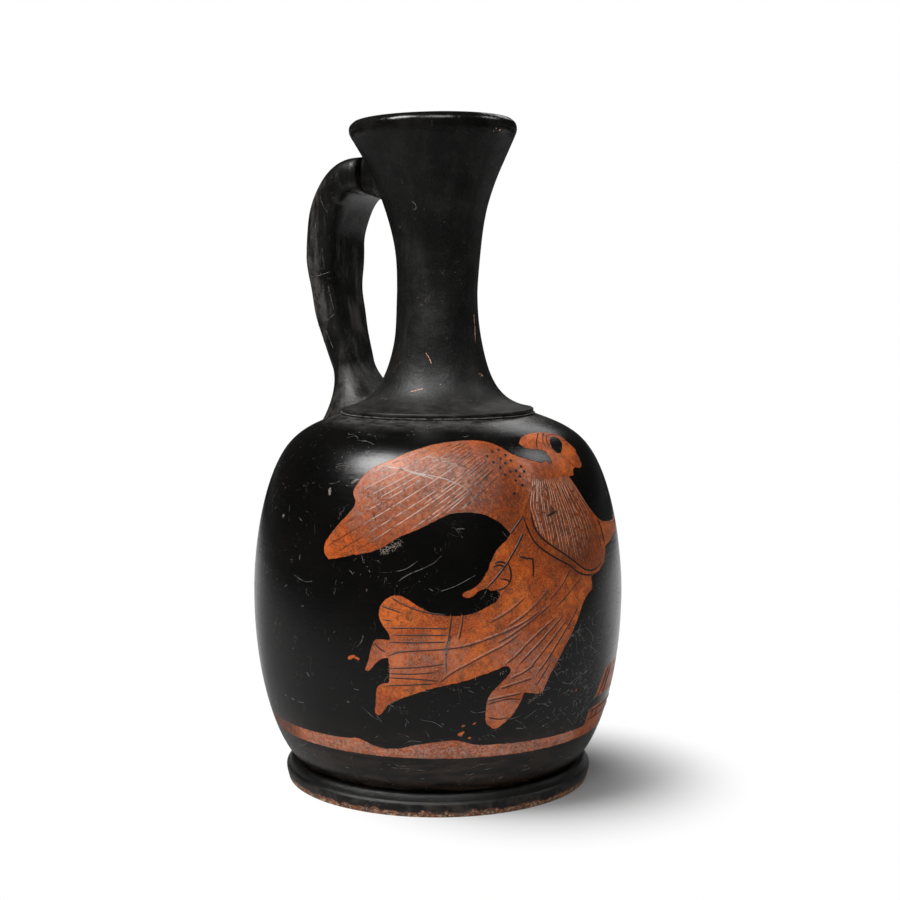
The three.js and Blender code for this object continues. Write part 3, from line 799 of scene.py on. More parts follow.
HEAD_LINES = [
    [(-0.1, 6), (-2, 4.7), (-4, 2.9), (-5.2, 1)], [(2.2, 5.8), (0, 4.6), (-1.8, 2.8), (-2.6, 0.8)],
    [(-1.2, 1.2), (-0.2, 3.2), (1.8, 4.7), (4.4, 4.8), (6, 3.8)], [(5.6, 2.3), (6.4, 2.45), (7.1, 2.1)],
    [(5.7, 1.5), (6.3, 1.6), (6.9, 1.3)], [(5.8, 1.35), (6.3, 1.05), (6.8, 1.2)],
    [(6.4, -2.2), (7.2, -2.15)], [(7.2, -0.9), (7.6, -0.75)], [(2.4, -2.4), (3.2, -3.8), (4.2, -4.6)]]
ALTAR_LINES = [
    [(42.2, 19.4), (52, 19.7), (62.8, 19.4)], [(42, 17.6), (52, 17.8), (63, 17.6)],
    [(45.4, 22.6), (46.6, 24.4), (48, 26.6), (49.4, 28.6)], [(48.2, 22.6), (49.2, 24.6), (51.2, 28.7)],
    [(44, 17.8), (44.3, 19.3)], [(46.4, 17.8), (46.7, 19.3)]]
COVERT_DOTS = [
    (14.4, 76.2), (15.9, 75.1), (17.6, 75.9), (16.7, 76.9), (18.4, 77.5), (19.4, 76.4), (18.4, 74.2),
    (20, 74.3), (20.7, 73.2), (21.8, 75.1), (22.3, 74.1), (18.3, 69.8), (13.1, 77.4), (14.9, 78.2),
    (16.9, 78.5), (19.3, 72.4), (16.8, 73.6), (20.9, 71.4)]
SCRATCHES = [
    [(-9, 52), (-5.9, 54), (-3, 55.2), (-0.6, 56.5), (1.2, 58.3)], [(3.2, 63.1), (6.6, 63.2)],
    [(-18, 37.4), (-16.2, 39.6), (-15.9, 41.4)], [(28.6, 29.2), (31, 28.2), (34, 28)],
    [(24, 25), (25.6, 24.2), (27, 23.6)], [(25.4, 22.2), (27, 20.6)], [(17.2, 20), (21, 19.6)],
    [(33.4, 24), (36, 23.2), (38, 22.6)], [(-21, 77.5), (-19.6, 78.1), (-18.2, 78.4)],
    [(-18.6, 33.8), (-18.2, 32.8)], [(-19.2, 31), (-19, 29.2)], [(5, 30), (7.4, 29.9)],
    [(9, 30.4), (10.2, 29)]]
WING_SCRATCHES = [
    [(-1.7, 76.9), (1.3, 76.6), (3.6, 76.1), (6.1, 75.7), (9, 74.6)], [(-4, 77.6), (0, 77.2), (3, 77)],
    [(-12.8, 75.4), (-8.9, 75), (-5.9, 74.4), (-2.6, 73.9), (1.3, 73.2), (4.1, 72.3), (7, 71)],
    [(-12.7, 75.3), (-8.8, 74.9), (-5.8, 74.2), (-2.5, 73.8)], [(-6, 74.2), (-3, 73.6), (-1, 73.1)]]
SKIRT_SCRATCH = [[(2.7, 41.4), (1.9, 38.6), (1.6, 36.6), (1.7, 33.2)]]
# Scratched stretches of the wall: their girth, their height and the count of scratches
SCRATCHED = [
    ((22, 44), (18, 42), 230), ((-20, 20), (17, 32), 36), ((-48, -20), (20, 76), 16),
    ((-20, 20), (48, 62), 10), ((-40, 50), (79, 83), 14), ((-44, 44), (8, 13), 30),
    ((48, 132), (14, 80), 60), ((-132, -48), (14, 80), 60)]
WING_NICKS = [
    [(-14.9, 74.9), (-14.4, 75.1)], [(-3.4, 71.5), (-2.2, 71.7)],
    [(-14.7, 66), (-14.3, 65.2), (-14, 64.4)], [(-2.1, 76), (-1.9, 76)], [(-8.8, 76.6), (-8.2, 76.7)],
    [(-11, 62.8), (-10, 63)], [(-10.8, 63.3), (-9.8, 63.3)], [(26.2, 64.6), (27.6, 65.2), (29.4, 65.6)],
    [(28.4, 64.6), (29.2, 65)]]
# On the neck and the strap: degrees round, and height
NECK_CHIPS = [
    [(-27, 89.7), (-20, 90.1), (-12, 90.6)], [(1, 91.3), (4.5, 91.5)],
    [(-16, 98.7), (-10, 97.2), (-6, 95.4)], [(63, 107.5), (62.5, 105.4), (62, 103.3), (57, 100.2)],
    [(50, 93.9), (58, 92.7)], [(46, 147.0), (49, 146.9)], [(50, 146.8), (54, 146.7)],
    [(44, 146.6), (47, 146.3)], [(-51, 147), (-50.5, 146.9)]]
NECK_SCRATCHES = [
    [(58, 94), (49, 92.1)],
    [(-29, 131.2), (-27, 131.6), (-24, 131.2), (-23, 130.5), (-25, 129.9), (-28, 130.2), (-29, 131.2)],
    [(-15, 133), (-13, 133.2)], [(-5, 132.1), (-3, 132)], [(38, 144.6), (41, 144.2)],
    [(-11, 146.2), (-8, 146.6)], [(8, 146.4), (10, 146.6)], [(-56, 88.2), (-44, 87.9)]]
STRAP_MARKS = [
    [(112, 115.9), (150, 115.4), (192, 115.7), (226, 116.3)],
    [(115, 105.2), (150, 104.3), (190, 105), (222, 106)], [(96, 132), (118, 130.4)],
    [(140, 127), (150, 123), (156, 118.6)], [(168, 112.6), (175, 108.4)], [(128, 101.6), (142, 99.8)],
    [(178, 128), (184, 121)], [(150, 112), (158, 109.5)], [(200, 122), (206, 117)],
    [(176, 103), (182, 98.6)], [(135, 120.4), (139, 117.2)], [(216, 113), (222, 107)],
    [(150, 133.2), (160, 130)], [(172, 133.4), (188, 131.8), (206, 131)], [(188, 110.4), (194, 106.6)]]


def loose_scratches():
    """Fine curved scratches over the worn stretches of the wall, most of them short."""
    draw = np.random.default_rng(11)
    lines = []
    for (left, right), (low, high), count in SCRATCHED:
        for _ in range(count):
            start = np.array([draw.uniform(left, right), draw.uniform(low, high)])
            length = min(0.4 + draw.exponential(1.7), 8)
            step = length * heading(draw.normal(0, 45) if high - low > 6 else draw.normal(0, 6))
            bow = draw.normal(0, 0.09 * length, 2)
            end = np.clip(start + step, (-133, 8), (133, 83.4))
            lines.append(smooth([start, (start + end) / 2 + bow, end], 5))
    return lines


def on_neck(turn, height, lift=0.0):
    """Points on the neck: turn in degrees to the viewer's right from the line that faces them."""
    turn, height = FACING + np.radians(np.asarray(turn, float)), np.asarray(height, float)
    slope = np.gradient(NECK_OUTSIDE[1:], axis=0)
    slope /= np.linalg.norm(slope, axis=1)[:, None]
    radius, rise, spread = (np.interp(height, NECK_OUTSIDE[1:, 1], row)
                            for row in (NECK_OUTSIDE[1:, 0], slope[:, 0], slope[:, 1]))
    far = radius + lift * spread
    return lean(np.column_stack([far * np.cos(turn), far * np.sin(turn), height - lift * rise]))


BEAD_STEP, BEAD_END, BEAD_TAPER = 0.45, 0.35, 7     # a bead thins to this share at its ends


def bead_radius(width, rise):
    """Radius of a round bead that shows at a width and a rise."""
    return (width * width / 4 + rise * rise) / (2 * rise)


def raised(lines, bead, rise, surface):
    """Lines of a surface's own coordinates as rows for beads that rise so far above it."""
    rows = []
    for line in lines:
        steps = max(4, int(np.linalg.norm(np.diff(line, axis=0), axis=1).sum() / BEAD_STEP))
        pick = np.linspace(0, len(line) - 1, steps)
        dense = np.column_stack([np.interp(pick, np.arange(len(line)), line[:, k]) for k in (0, 1)])
        end = np.minimum(np.arange(steps), np.arange(steps)[::-1]) / max(steps - 1, 1)
        size = np.clip(BEAD_END + end * BEAD_TAPER, 0, 1)
        rows.append(np.column_stack([surface(dense[:, 0], dense[:, 1], size * (rise - bead)), size]))
    return rows


def ridges(name, lines, width, rise, look, surface=on_wall):
    """Raised lines of a width and a rise in millimetres, as one piece."""
    bead = bead_radius(width, rise)
    path = line_object(name + "_path", raised(lines, bead, rise, surface))
    keep(grown(path, RIDGES, name, Material=look, **{"Bead Radius": bead * MM}), "black_gloss")


def drawn(lines):
    return [smooth(line) for line in lines]


def covert_dots(look, width=0.74, rise=0.08):
    """Low drops of slip on the wing's coverts."""
    drop = bead_radius(width, rise)
    spots = np.array(COVERT_DOTS)
    mesh = bpy.data.meshes.new("covert_dot_places")
    mesh.from_pydata((on_wall(spots[:, 0], spots[:, 1], rise - drop) * MM).tolist(), [], [])
    keep(grown(link("covert_dot_places", mesh), DOTS, "wing_covert_dots", Material=look,
               **{"Drop Radius": drop * MM}), "black_gloss")


def picture_lines():
    """The picture's drawing, with painted highlight lines beside its fold lines."""
    thick = line_look("raised_black_line", (0.006, 0.005, 0.0045), 0.3)
    thin = line_look("dilute_brown_line", (0.034, 0.018, 0.013), 0.36)
    # Painted highlights: the feather lines, the chest's folds and the lines beside the skirt's folds are
    # painted pale round the wing, the chest and the skirt, where the lamps glint on raised lines.
    wing = glint_painted_line_look("painted_glint_feather_line", dark=(0.05, 0.018, 0.008), pale=(0.62, 0.5, 0.43),
                          middle=(-6, 70), reach=15)
    cloth = glint_painted_line_look("painted_glint_cloth_line", dark=(0.045, 0.016, 0.008), pale=(0.55, 0.36, 0.27),
                           middle=(29, 66), reach=15)
    edge = glint_painted_line_look("painted_glint_fold_edge", dark=(0.4, 0.1, 0.02), pale=(0.62, 0.38, 0.28),
                          middle=(16, 33), reach=18)
    ridges("wing_feather_lines", feathers(), 0.17, 0.04, wing)
    ridges("wing_scratches", drawn(WING_SCRATCHES), 0.24, 0.07, wing)
    ridges("hem_and_arm_lines", drawn(HEM_LINES + ALTAR_LINES), 0.4, 0.1, thick)
    ridges("chest_fold_lines", torso_folds(), 0.15, 0.04, cloth)
    ridges("skirt_fold_lines", drawn(FOLD_LINES), 0.3, 0.06, thin)
    ridges("skirt_fold_painted_glints", drawn(np.add(line, FOLD_EDGE) for line in EDGED_FOLDS), 0.12, 0.03, edge)
    ridges("head_lines", [on_head(line) for line in drawn(HEAD_LINES)], 0.24, 0.07, thick)
    covert_dots(thick)


def wear_marks():
    """Scratches, nicks and chips on the wall, the neck and the strap."""
    dusty = dust_line_look("dusty_scratch", (0.15, 0.155, 0.155))
    faint = dust_line_look("faint_scratch", (0.1, 0.09, 0.085))
    cracked = dust_line_look("dusty_crack", (0.1, 0.092, 0.085))
    nicked = line_look("dark_nick", (0.03, 0.012, 0.008), 0.5)
    ridges("wall_scratches", drawn(SCRATCHES), 0.34, 0.03, faint)
    ridges("wall_fine_scratches", loose_scratches(), 0.12, 0.02, dusty)
    ridges("skirt_scratch", drawn(SKIRT_SCRATCH), 0.4, 0.13, dusty)
    ridges("wing_nicks", drawn(WING_NICKS), 0.4, 0.05, nicked)
    ridges("neck_chips", drawn(NECK_CHIPS), 0.34, 0.03, chip_look(), on_neck)
    ridges("strap_marks", drawn(STRAP_MARKS), 0.24, 0.07, cracked, on_strap)
    ridges("neck_scratches", drawn(NECK_SCRATCHES), 0.24, 0.02, dusty, on_neck)


# Pieces

FINE_GIRTH = (-30.0, 58.0)                        # the stretch of the wall that holds the picture
FINE_STEP, COARSE_STEP, ROW_STEP = 0.335, 3.0, 0.335
FOOT_JOIN = 5.0                                   # the bowl reaches this low over the seam
WALL_THICKNESS, FLOOR_TOP, THROAT_RADIUS = 4.0, 11.5, 9.0
SEAT_RADIUS, SHOULDER_EDGE = 32.5, 20.4           # where the outer wall ends below and above
HOLLOW_LOW, HOLLOW_HIGH = 15.5, 79.9              # between these the hollow follows the wall
FOOT_GRID, NECK_GRID, LUTING_GRID = (200, 181), (460, 169), (90, 145)    # rows and columns
HOLLOW_GRID, UNDER_GRID = (260, 145), (40, 145)


def body_wall():
    """The bowl's outer wall, with the picture's distances on its points, and its strokes of wear, painted
    sheen and darker clay.
    """
    fine = int((FINE_GIRTH[1] - FINE_GIRTH[0]) / FINE_STEP)
    coarse = int((math.tau * BELLY_RADIUS - FINE_GIRTH[1] + FINE_GIRTH[0]) / COARSE_STEP)
    start, stop = (FACING + girth / BELLY_RADIUS for girth in FINE_GIRTH)
    hem = [(SEAT_RADIUS, BODY_BASE), (SEAT_RADIUS, FOOT_JOIN), (SEAT_RADIUS + 0.4, FOOT_JOIN)]
    made = turned("body_wall", np.vstack([hem, WALL, (SHOULDER_EDGE, BODY_TOP)]),
                  int(WALL_RUN[-1] / ROW_STEP), fine + coarse + 1, picture_look(),
                  (fine / (fine + coarse), start, stop))
    points = places(made.data)
    height = points[:, 2]
    turn = np.arctan2(points[:, 1], points[:, 0]) - FACING
    girth = BELLY_RADIUS * ((turn + math.pi) % math.tau - math.pi)
    felt = {"reserve": reserve(girth, height), "scuff_and_sheen": strokes(SCUFFS_AND_PAINTED_SHEEN, girth, height),
            "darker_clay": strokes(DARKER_CLAY_STROKES, girth, height).clip(0), "painted_sheen": strokes(PAINTED_SHEEN_STROKES, girth, height).clip(0)}
    for name, values in felt.items():
        kept = made.data.attributes.new(name, "FLOAT", "POINT")
        kept.data.foreach_set("value", values.astype(np.float32))
    face = made.data.polygons[len(made.data.polygons) // 2]
    if face.normal.x * face.center.x + face.normal.y * face.center.y < 0:
        made.data.flip_normals()
    return keep(made, "black_gloss_and_clay", "body")


def body_inside(clay):
    """The bowl's hollow, its throat and the underside that sits on the foot."""
    wall = inset(WALL[2:-2], WALL_THICKNESS)
    wall = wall[(wall[:, 1] > HOLLOW_LOW) & (wall[:, 1] < HOLLOW_HIGH)]
    throat = [(SHOULDER_EDGE, BODY_TOP), (THROAT_RADIUS, BODY_TOP), (THROAT_RADIUS, HOLLOW_HIGH + 0.2)]
    floor = profile((wall[0][0] - 0.05, HOLLOW_LOW - 0.3), (31.4, FLOOR_TOP, 265, 180, 0.5, 0.5),
                    (0.0, FLOOR_TOP))
    made = turned("body_hollow", np.vstack([throat, wall[::-1], floor]), *HOLLOW_GRID, clay)
    under = turned("body_underside", np.array([(0.0, BODY_BASE), (SEAT_RADIUS, BODY_BASE)]), *UNDER_GRID,
                   clay)
    shape = bmesh.new()
    shape.from_mesh(made.data)
    shape.from_mesh(under.data)
    for face in shape.faces:
        face.smooth = True
    shape.to_mesh(made.data)
    shape.free()
    bpy.data.objects.remove(under)
    return keep(made, "bare_clay", "body")


def foot_ring():
    """The foot, with its moulded side and the hollow under it."""
    points = profile((25, 0), (34.5, 0), (34.95, 0.3, 0, 80, 0.5, 0.5), (35.4, 2.6, 84, 90, 0.3, 0.4),
                     (34.95, 3.3, 95, 140, 0.5, 0.4), (33.6, FOOT_JOIN, 110, 170, 0.4, 0.4),
                     (32.4, FOOT_JOIN + 0.1), (23.5, 6), (25, 0, 270, 320, 0.4, 0.3))
    return keep(settle(turned("foot_ring", points, *FOOT_GRID, foot_look())), "black_gloss", "foot")


def luting_ring(name, node_name, look, swell):
    """A ring of joining clay, in the space that its CAD ring holds, with a swelling on its side."""
    low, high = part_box(node_name)
    ring = [v.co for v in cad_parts[node_name].data.vertices]
    inner = min(math.hypot(v.x, v.y) for v in ring) / MM
    outer = high.x / MM
    base, top = low.z / MM, high.z / MM
    bulge = (outer + swell, (base + top) / 2)
    points = profile((inner, base), (outer, base), bulge, (outer, top), (inner, top), (inner, base))
    return keep(settle(turned(name, points, *LUTING_GRID, look)), "bare_clay", node_name)


def mouth_rise(height):
    """How far a height has come from the waist to the rim, squared: the lean grows with it."""
    return np.clip((height - WAIST_HEIGHT) / (RIM_HEIGHT - WAIST_HEIGHT), 0, None) ** 2


def lean(points):
    """Leans the mouth, as the CAD neck leans, and leaves the neck a little uneven, as a hand does."""
    turn, height = np.arctan2(points[:, 1], points[:, 0]), points[:, 2]
    swell = NECK_SWELL * (np.sin(2 * turn + 0.16 * height) + 0.6 * np.sin(3 * turn - 0.27 * height + 1))
    swell *= np.clip((height - UNEVEN_LOW) / 10, 0, 1) * np.clip((UNEVEN_HIGH - height) / 8, 0, 1)
    points[:, :2] *= (1 + swell / np.maximum(np.hypot(points[:, 0], points[:, 1]), 1))[:, None]
    rise = mouth_rise(points[:, 2])
    points[:, 2] += rise * MOUTH_DIP * points[:, 0]
    points[:, 0] -= rise * MOUTH_LEAN
    return points


BORE_RADIUS, LIP_HEIGHT = 5.95, 148.2
NECK_OUTSIDE = profile((FLANGE_RADIUS, NECK_BASE), (FLANGE_RADIUS, NECK_BASE + 0.8),
                       (NECK_RADIUS, WAIST_HEIGHT, 171, 93, 0.31, 0.64),
                       (MOUTH_RADIUS - 0.45, 146.7, 91, 63, 0.34, 0.45),
                       (MOUTH_RADIUS, LIP_HEIGHT, 63, 90, 0.35, 0.35))
NECK_INSIDE = profile((MOUTH_RADIUS, LIP_HEIGHT), (18.5, 149.7, 90, 135, 0.45, 0.4),
                      (17.2, RIM_HEIGHT + 0.35, 145, 180, 0.4, 0.5), (15.4, 148.8, 180, 235, 0.4, 0.4),
                      (BORE_RADIUS, WAIST_HEIGHT, 241, 270, 0.34, 0.44), (BORE_RADIUS, 91.6),
                      (THROAT_RADIUS, NECK_BASE, 270, 320, 0.4, 0.2), (FLANGE_RADIUS, NECK_BASE))


def neck(look):
    """The neck with its flange and its mouth."""
    made = turned("neck_and_mouth", np.vstack([NECK_OUTSIDE, NECK_INSIDE[1:]]), *NECK_GRID, look)
    put(made.data, lean(places(made.data)))
    return keep(settle(made), "black_gloss", "neck")


STRAP_TOP_WIDTH, STRAP_ROOT_WIDTH, STRAP_CORNER = 18.6, 12.6, 3.0
STRAP_TOP_THICKNESS, STRAP_BEND_THICKNESS, STRAP_ROOT_THICKNESS = 8.4, 8.6, 6.2
UPPER_ROOT_LENGTH, LOWER_ROOT_LENGTH = 12.0, 14.5
UPPER_FLARE, LOWER_FLARE = 4.4, 7.8
SEAM_STEP = 2.2                                   # the upper root stands back from the strap's sides
TOP_OVERLAP = 2.0                                 # how far the strap runs on into its upper root
STRAP_STEPS, SECTION_STEPS = 150, 56
SECTION_TURNS = np.linspace(0, math.tau, SECTION_STEPS, endpoint=False)


def strap_section(width, thickness, corner, turn=SECTION_TURNS):
    """A rounded strap section, a little crowned, as points across and through it."""
    corner = np.minimum(corner, np.minimum(width, thickness) / 2 - 0.05)
    power = 2 + 2.2 * (1 - corner / (thickness / 2))
    across = np.sign(np.cos(turn)) * np.abs(np.cos(turn)) ** (2 / (power + 2.4))
    through = np.sign(np.sin(turn)) * np.abs(np.sin(turn)) ** (2 / power)
    return np.column_stack([across * width / 2, through * thickness / 2])


def strap_ring(centre, direction, width, thickness, corner):
    """A strap section set at a place in the handle's plane."""
    section = strap_section(width, thickness, corner)
    reach = centre[0] - direction[1] * section[:, 1]
    return np.column_stack([-reach, section[:, 0], centre[1] + direction[0] * section[:, 1]])


def strap_loft(name, stations, look):
    """Joins sections along a path: centre, direction, width, thickness, corner."""
    rings = [strap_ring(*station) for station in stations]
    count, points = len(rings[0]), np.vstack(rings)
    faces = []
    for ring in range(len(rings) - 1):
        for i in range(count):
            a, b = ring * count + i, ring * count + (i + 1) % count
            faces.append((a, a + count, b + count, b))
    faces += [tuple(range(count)), tuple(reversed(range(len(points) - count, len(points))))]
    mesh = bpy.data.meshes.new(name)
    mesh.from_pydata((points * MM).tolist(), [], faces)
    mesh.materials.append(look)
    for face in mesh.polygons:
        face.use_smooth = len(face.vertices) == 4
    return link(name, mesh)


def strap_path():
    """The strap's centre line as reach and height, with its directions and shares of its length."""
    points = profile((18.4, 138.5), (28.9, 122, 0, 270, 0.3, 0.46), (23.8, 94.6, 272, 252, 0.43, 0.32))
    run = np.concatenate([[0], np.cumsum(np.linalg.norm(np.diff(points, axis=0), axis=1))])
    steps = np.linspace(0, run[-1], STRAP_STEPS)
    line = np.column_stack([np.interp(steps, run, points[:, k]) for k in (0, 1)])
    direction = np.gradient(line, axis=0)
    direction /= np.linalg.norm(direction, axis=1)[:, None]
    return line, direction, steps / run[-1], run[LEG_STEPS] / run[-1]


def strap_sizes(share, bend):
    """The strap's width and thickness along its length."""
    swell = STRAP_SWELL * np.sin(math.pi * share)
    return (np.interp(share, [0, 1], [STRAP_TOP_WIDTH, STRAP_ROOT_WIDTH]) + swell * np.sin(17 * share),
            np.interp(share, [0, bend, 1], [STRAP_TOP_THICKNESS, STRAP_BEND_THICKNESS, STRAP_ROOT_THICKNESS])
            + swell * np.sin(26 * share + 1))


def on_strap(turn, height, lift=0.0):
    """Points on the strap, by degrees round its section and height."""
    line, direction, shares, bend = strap_path()
    share = np.interp(height, line[::-1, 1], shares[::-1])
    centre, way = (np.column_stack([np.interp(share, shares, row[:, k]) for k in (0, 1)])
                   for row in (line, direction))
    width, thickness = strap_sizes(share, bend)
    section = strap_section(width + 2 * lift, thickness + 2 * lift, STRAP_CORNER, np.radians(turn))
    return np.column_stack([way[:, 1] * section[:, 1] - centre[:, 0], section[:, 0],
                            centre[:, 1] + way[:, 0] * section[:, 1]])


def root_stations(centre, direction, width, thickness, length, flares, step, power):
    """A root that carries on from the strap's end, flares across and through, and closes to a point
    inside the wall."""
    stations = []
    for share in np.linspace(0, 1, 40):
        across, through = (share ** power * flare for flare in flares)
        back = step * (1 - share)
        stations.append((centre + direction * share * length, direction, width + 2 * across - 2 * back,
                         thickness + 2 * through - 0.07 * back, STRAP_CORNER + across))
    place, way, *sizes = stations[-1]
    for share in (0.86, 0.72, 0.58, 0.44, 0.3, 0.16, 0.05):
        stations.append((place, way, *(size * share for size in sizes)))
    return stations


def sink_in_neck(points):
    """Draws points that go deep in the neck out to just under its surface."""
    straight = points.copy()
    rise = mouth_rise(points[:, 2])
    straight[:, 0] += rise * MOUTH_LEAN
    height = straight[:, 2] - rise * MOUTH_DIP * straight[:, 0]
    limit = np.interp(height, NECK_OUTSIDE[:, 1], NECK_OUTSIDE[:, 0]) - ROOT_SINK
    radius = np.hypot(straight[:, 0], straight[:, 1])
    grow = np.maximum(limit / np.maximum(radius, 1e-6), 1)
    points[:, 0] += straight[:, 0] * (grow - 1)
    points[:, 1] *= grow
    return points


def sink_in_shoulder(points):
    """Draws points that go deep in the shoulder or the flange up to just under the surface."""
    radius = np.hypot(points[:, 0], points[:, 1])
    cone = NECK_OUTSIDE[(NECK_OUTSIDE[:, 1] <= WAIST_HEIGHT)][::-1]
    top = np.vstack([cone, WALL[WALL[:, 1] > 60][::-1]])
    points[:, 2] = np.maximum(points[:, 2], np.interp(radius, top[:, 0], top[:, 1]) - ROOT_SINK)
    return points


def handle(look):
    """The strap with its lower root in one skin, and its upper root."""
    line, direction, share, bend = strap_path()
    width, thickness = strap_sizes(share, bend)
    stations = [(line[i], direction[i], width[i], thickness[i], STRAP_CORNER) for i in range(len(line))]
    top_end = (line[0] - TOP_OVERLAP * direction[0], *stations[0][1:])
    root = root_stations(line[-1], direction[-1], STRAP_ROOT_WIDTH, STRAP_ROOT_THICKNESS,
                         LOWER_ROOT_LENGTH, (LOWER_FLARE, LOWER_FLARE), 0, 1.8)
    strap = strap_loft("handle_strap_and_lower_root", [top_end, *stations, *root[1:]], look)
    put(strap.data, sink_in_shoulder(places(strap.data)))
    keep(settle(strap), "black_gloss", "handle", "handle_lower_luting")
    root = root_stations(line[0], -direction[0], STRAP_TOP_WIDTH, STRAP_TOP_THICKNESS,
                         UPPER_ROOT_LENGTH, (0, UPPER_FLARE), SEAM_STEP, 1.3)
    upper = strap_loft("handle_upper_root", root, look)
    put(upper.data, sink_in_neck(places(upper.data)))
    keep(settle(upper), "black_gloss", "handle_upper_luting")


# Studio

CAMERA_DISTANCE, CAMERA_HEIGHT = 360.95 * MM, 111.59 * MM
CAMERA_TILT, CAMERA_SWING = 0.0997, 0.00777       # radians down, and to the viewer's right
FOCAL_SHARE, SENSOR_WIDTH = 1570.7 / 900, 36.0    # focal length as a share of the picture's width
SOFTBOXES = {"key_softbox": ((-0.48, -0.28, 0.84), 0.46, 7.8),
             "front_softbox": ((0.08, -0.56, 0.84), 0.5, 3.2),
             "right_softbox": ((0.66, 0.14, 0.74), 0.3, 0.85),
             "back_softbox": ((0.28, 0.78, 0.64), 0.32, 0.4)}      # place, width and power
LIT_MIDDLE = Vector((0, 0, 0.06))
WHITE, ROOM_GREY = (1, 1, 1), (0.02,) * 3
TABLE_LIT, TABLE_SEEN = (0.82,) * 3, (0.45,) * 3  # as it lights the flask, and as the viewer sees it
POOL_BRIGHT, POOL_DIM = (0.3,) * 3, (0.03,) * 3   # the table as it shows in the gloss
POOL_MIDDLE, POOL_EDGE = (0, 0.2, 0), (0.25, 0.42)
SHADOW_MIDDLE, SHADOW_EDGE = (0.022, -0.005, 0), (0.014, 0.052)
FOOT_SHADE, TABLE_END = (0.036, 0.056), (0.3, 0.75)   # where the far side's white starts and ends
FAR_SIDE_TURN = 0.16


def turned_to_view(right, away, up):
    """A place given to the viewer's right, away from them and up, in the part's frame."""
    a = math.radians(VIEW_AZIMUTH)
    return Vector((right * math.cos(a) - away * math.sin(a), right * math.sin(a) + away * math.cos(a), up))


def aimed(made, spot, way):
    """Sets a lamp or a camera at a spot and points it a way."""
    made.matrix_world = Matrix.Translation(spot) @ way.to_track_quat("-Z", "Y").to_matrix().to_4x4()


def camera():
    data = bpy.data.cameras.new("camera")
    data.sensor_fit, data.sensor_width, data.lens = "HORIZONTAL", SENSOR_WIDTH, SENSOR_WIDTH * FOCAL_SHARE
    data.clip_start, data.clip_end = 0.01, 50
    made = link("camera", data)
    level = math.cos(CAMERA_TILT)
    aimed(made, turned_to_view(0, -CAMERA_DISTANCE, CAMERA_HEIGHT),
          turned_to_view(math.sin(CAMERA_SWING) * level, math.cos(CAMERA_SWING) * level,
                         -math.sin(CAMERA_TILT)))
    bpy.context.scene.camera = made


def studio():
    """Softboxes above the flask and a pale table under it."""
    for name, (place, width, power) in SOFTBOXES.items():
        data = bpy.data.lights.new(name, "AREA")
        data.shape, data.size, data.energy = "DISK", width, power
        spot = turned_to_view(*place)
        aimed(link(name, data), spot, LIT_MIDDLE - spot)
    mesh = bpy.data.meshes.new("floor")
    shape = bmesh.new()
    bmesh.ops.create_grid(shape, x_segments=8, y_segments=8, size=6)
    shape.to_mesh(mesh)
    shape.free()
    floor = link("floor", mesh)
    mesh.materials.append(floor_look())
    room()


def rays(tree):
    """Whether the viewer sees a place, and whether it shows in the gloss."""
    path = node(tree, "ShaderNodeLightPath").outputs
    seen, glossy, through = (Field(tree, path[name]) for name in (
        "Is Camera Ray", "Is Glossy Ray", "Is Transmission Ray"))
    return seen, glossy | through


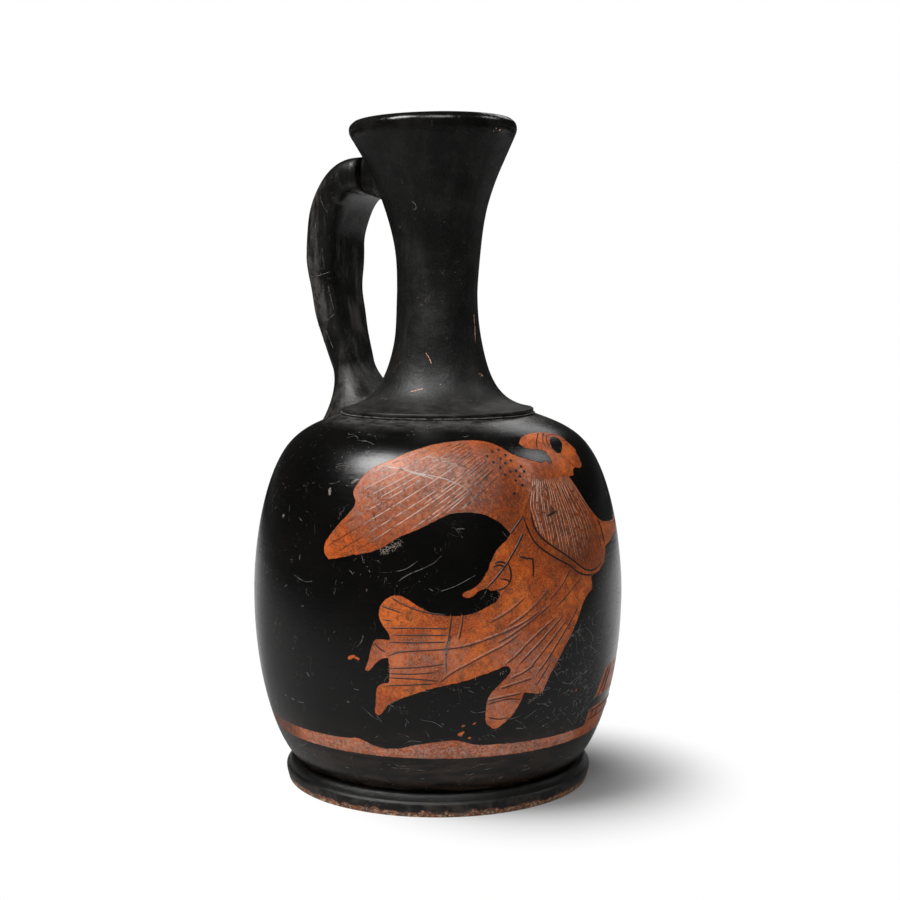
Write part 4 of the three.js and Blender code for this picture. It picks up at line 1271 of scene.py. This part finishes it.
def floor_look():
    """White table: it takes the flask's shadow, and runs into the white background as the viewer sees
    it. The gloss shows a dimmer pool of light on it, and its white far side behind the flask."""
    look = Look("white_table")
    tree = look.tree
    seen, mirrored = rays(tree)
    pool = look.away(turned_to_view(*POOL_MIDDLE)).eased(*POOL_EDGE)
    dim = pool.ramp((0.0, POOL_BRIGHT), (1.0, POOL_DIM))
    look.dress(mirrored.coloured(TABLE_LIT, dim).painted(seen, TABLE_SEEN), 0.8)
    lit = look.away(turned_to_view(*SHADOW_MIDDLE)).eased(*SHADOW_EDGE)
    toward = look.point.new("ShaderNodeVectorMath", {0: look.point}, operation="NORMALIZE")
    far_side = turned_to_view(math.sin(FAR_SIDE_TURN), math.cos(FAR_SIDE_TURN), 0)
    facing = toward.new("ShaderNodeVectorMath", {0: toward, 1: far_side}, "Value", operation="DOT_PRODUCT")
    away = look.away((0, 0, 0))
    outside = away.eased(*FOOT_SHADE) * away.eased(*TABLE_END, 1.0, 0.0)
    behind = facing.eased(0.35, 0.95, 0.0, 0.85) * outside
    shine = node(tree, "ShaderNodeEmission", {"Color": WHITE, "Strength": 1.0})
    mixed = node(tree, "ShaderNodeMixShader", {
        0: seen * lit | mirrored * behind, 1: look.shader.outputs[0], 2: shine.outputs[0]})
    tree.links.new(mixed.outputs[0], tree.nodes["Material Output"].inputs["Surface"])
    return look.material


def room():
    """The room: white to the viewer, and dim over the flask, with a low white edge in the gloss."""
    world = bpy.data.worlds.new("studio")
    bpy.context.scene.world = world
    world.use_nodes = True
    tree = world.node_tree
    place = node(tree, "ShaderNodeTexCoord").outputs["Generated"]
    up = Field(tree, node(tree, "ShaderNodeSeparateXYZ", {0: place}).outputs["Z"])
    seen, mirrored = rays(tree)
    white = seen | mirrored * up.eased(0.0, 0.06, 0.1, 0.0)
    feed(tree, tree.nodes["Background"].inputs["Color"], white.coloured(ROOM_GREY, WHITE))


camera()
bpy.context.scene.view_settings.view_transform = "Standard"
studio()
gloss = gloss_look("black_gloss", rough=0.39, dusty=0.04, least=0.5)
dusty_gloss = gloss_look("dusty_black_gloss", rough=0.36, dusty=0.24, least=0.08)
foot_ring()
luting_ring("foot_joint", "foot_luting", gloss, swell=0.6)
body_wall()
body_inside(clay_only_look())
luting_ring("neck_joint", "neck_luting", dust_line_look("dusty_seam", (0.2, 0.18, 0.165)), swell=1.1)
neck(gloss)
handle(dusty_gloss)
picture_lines()
wear_marks()
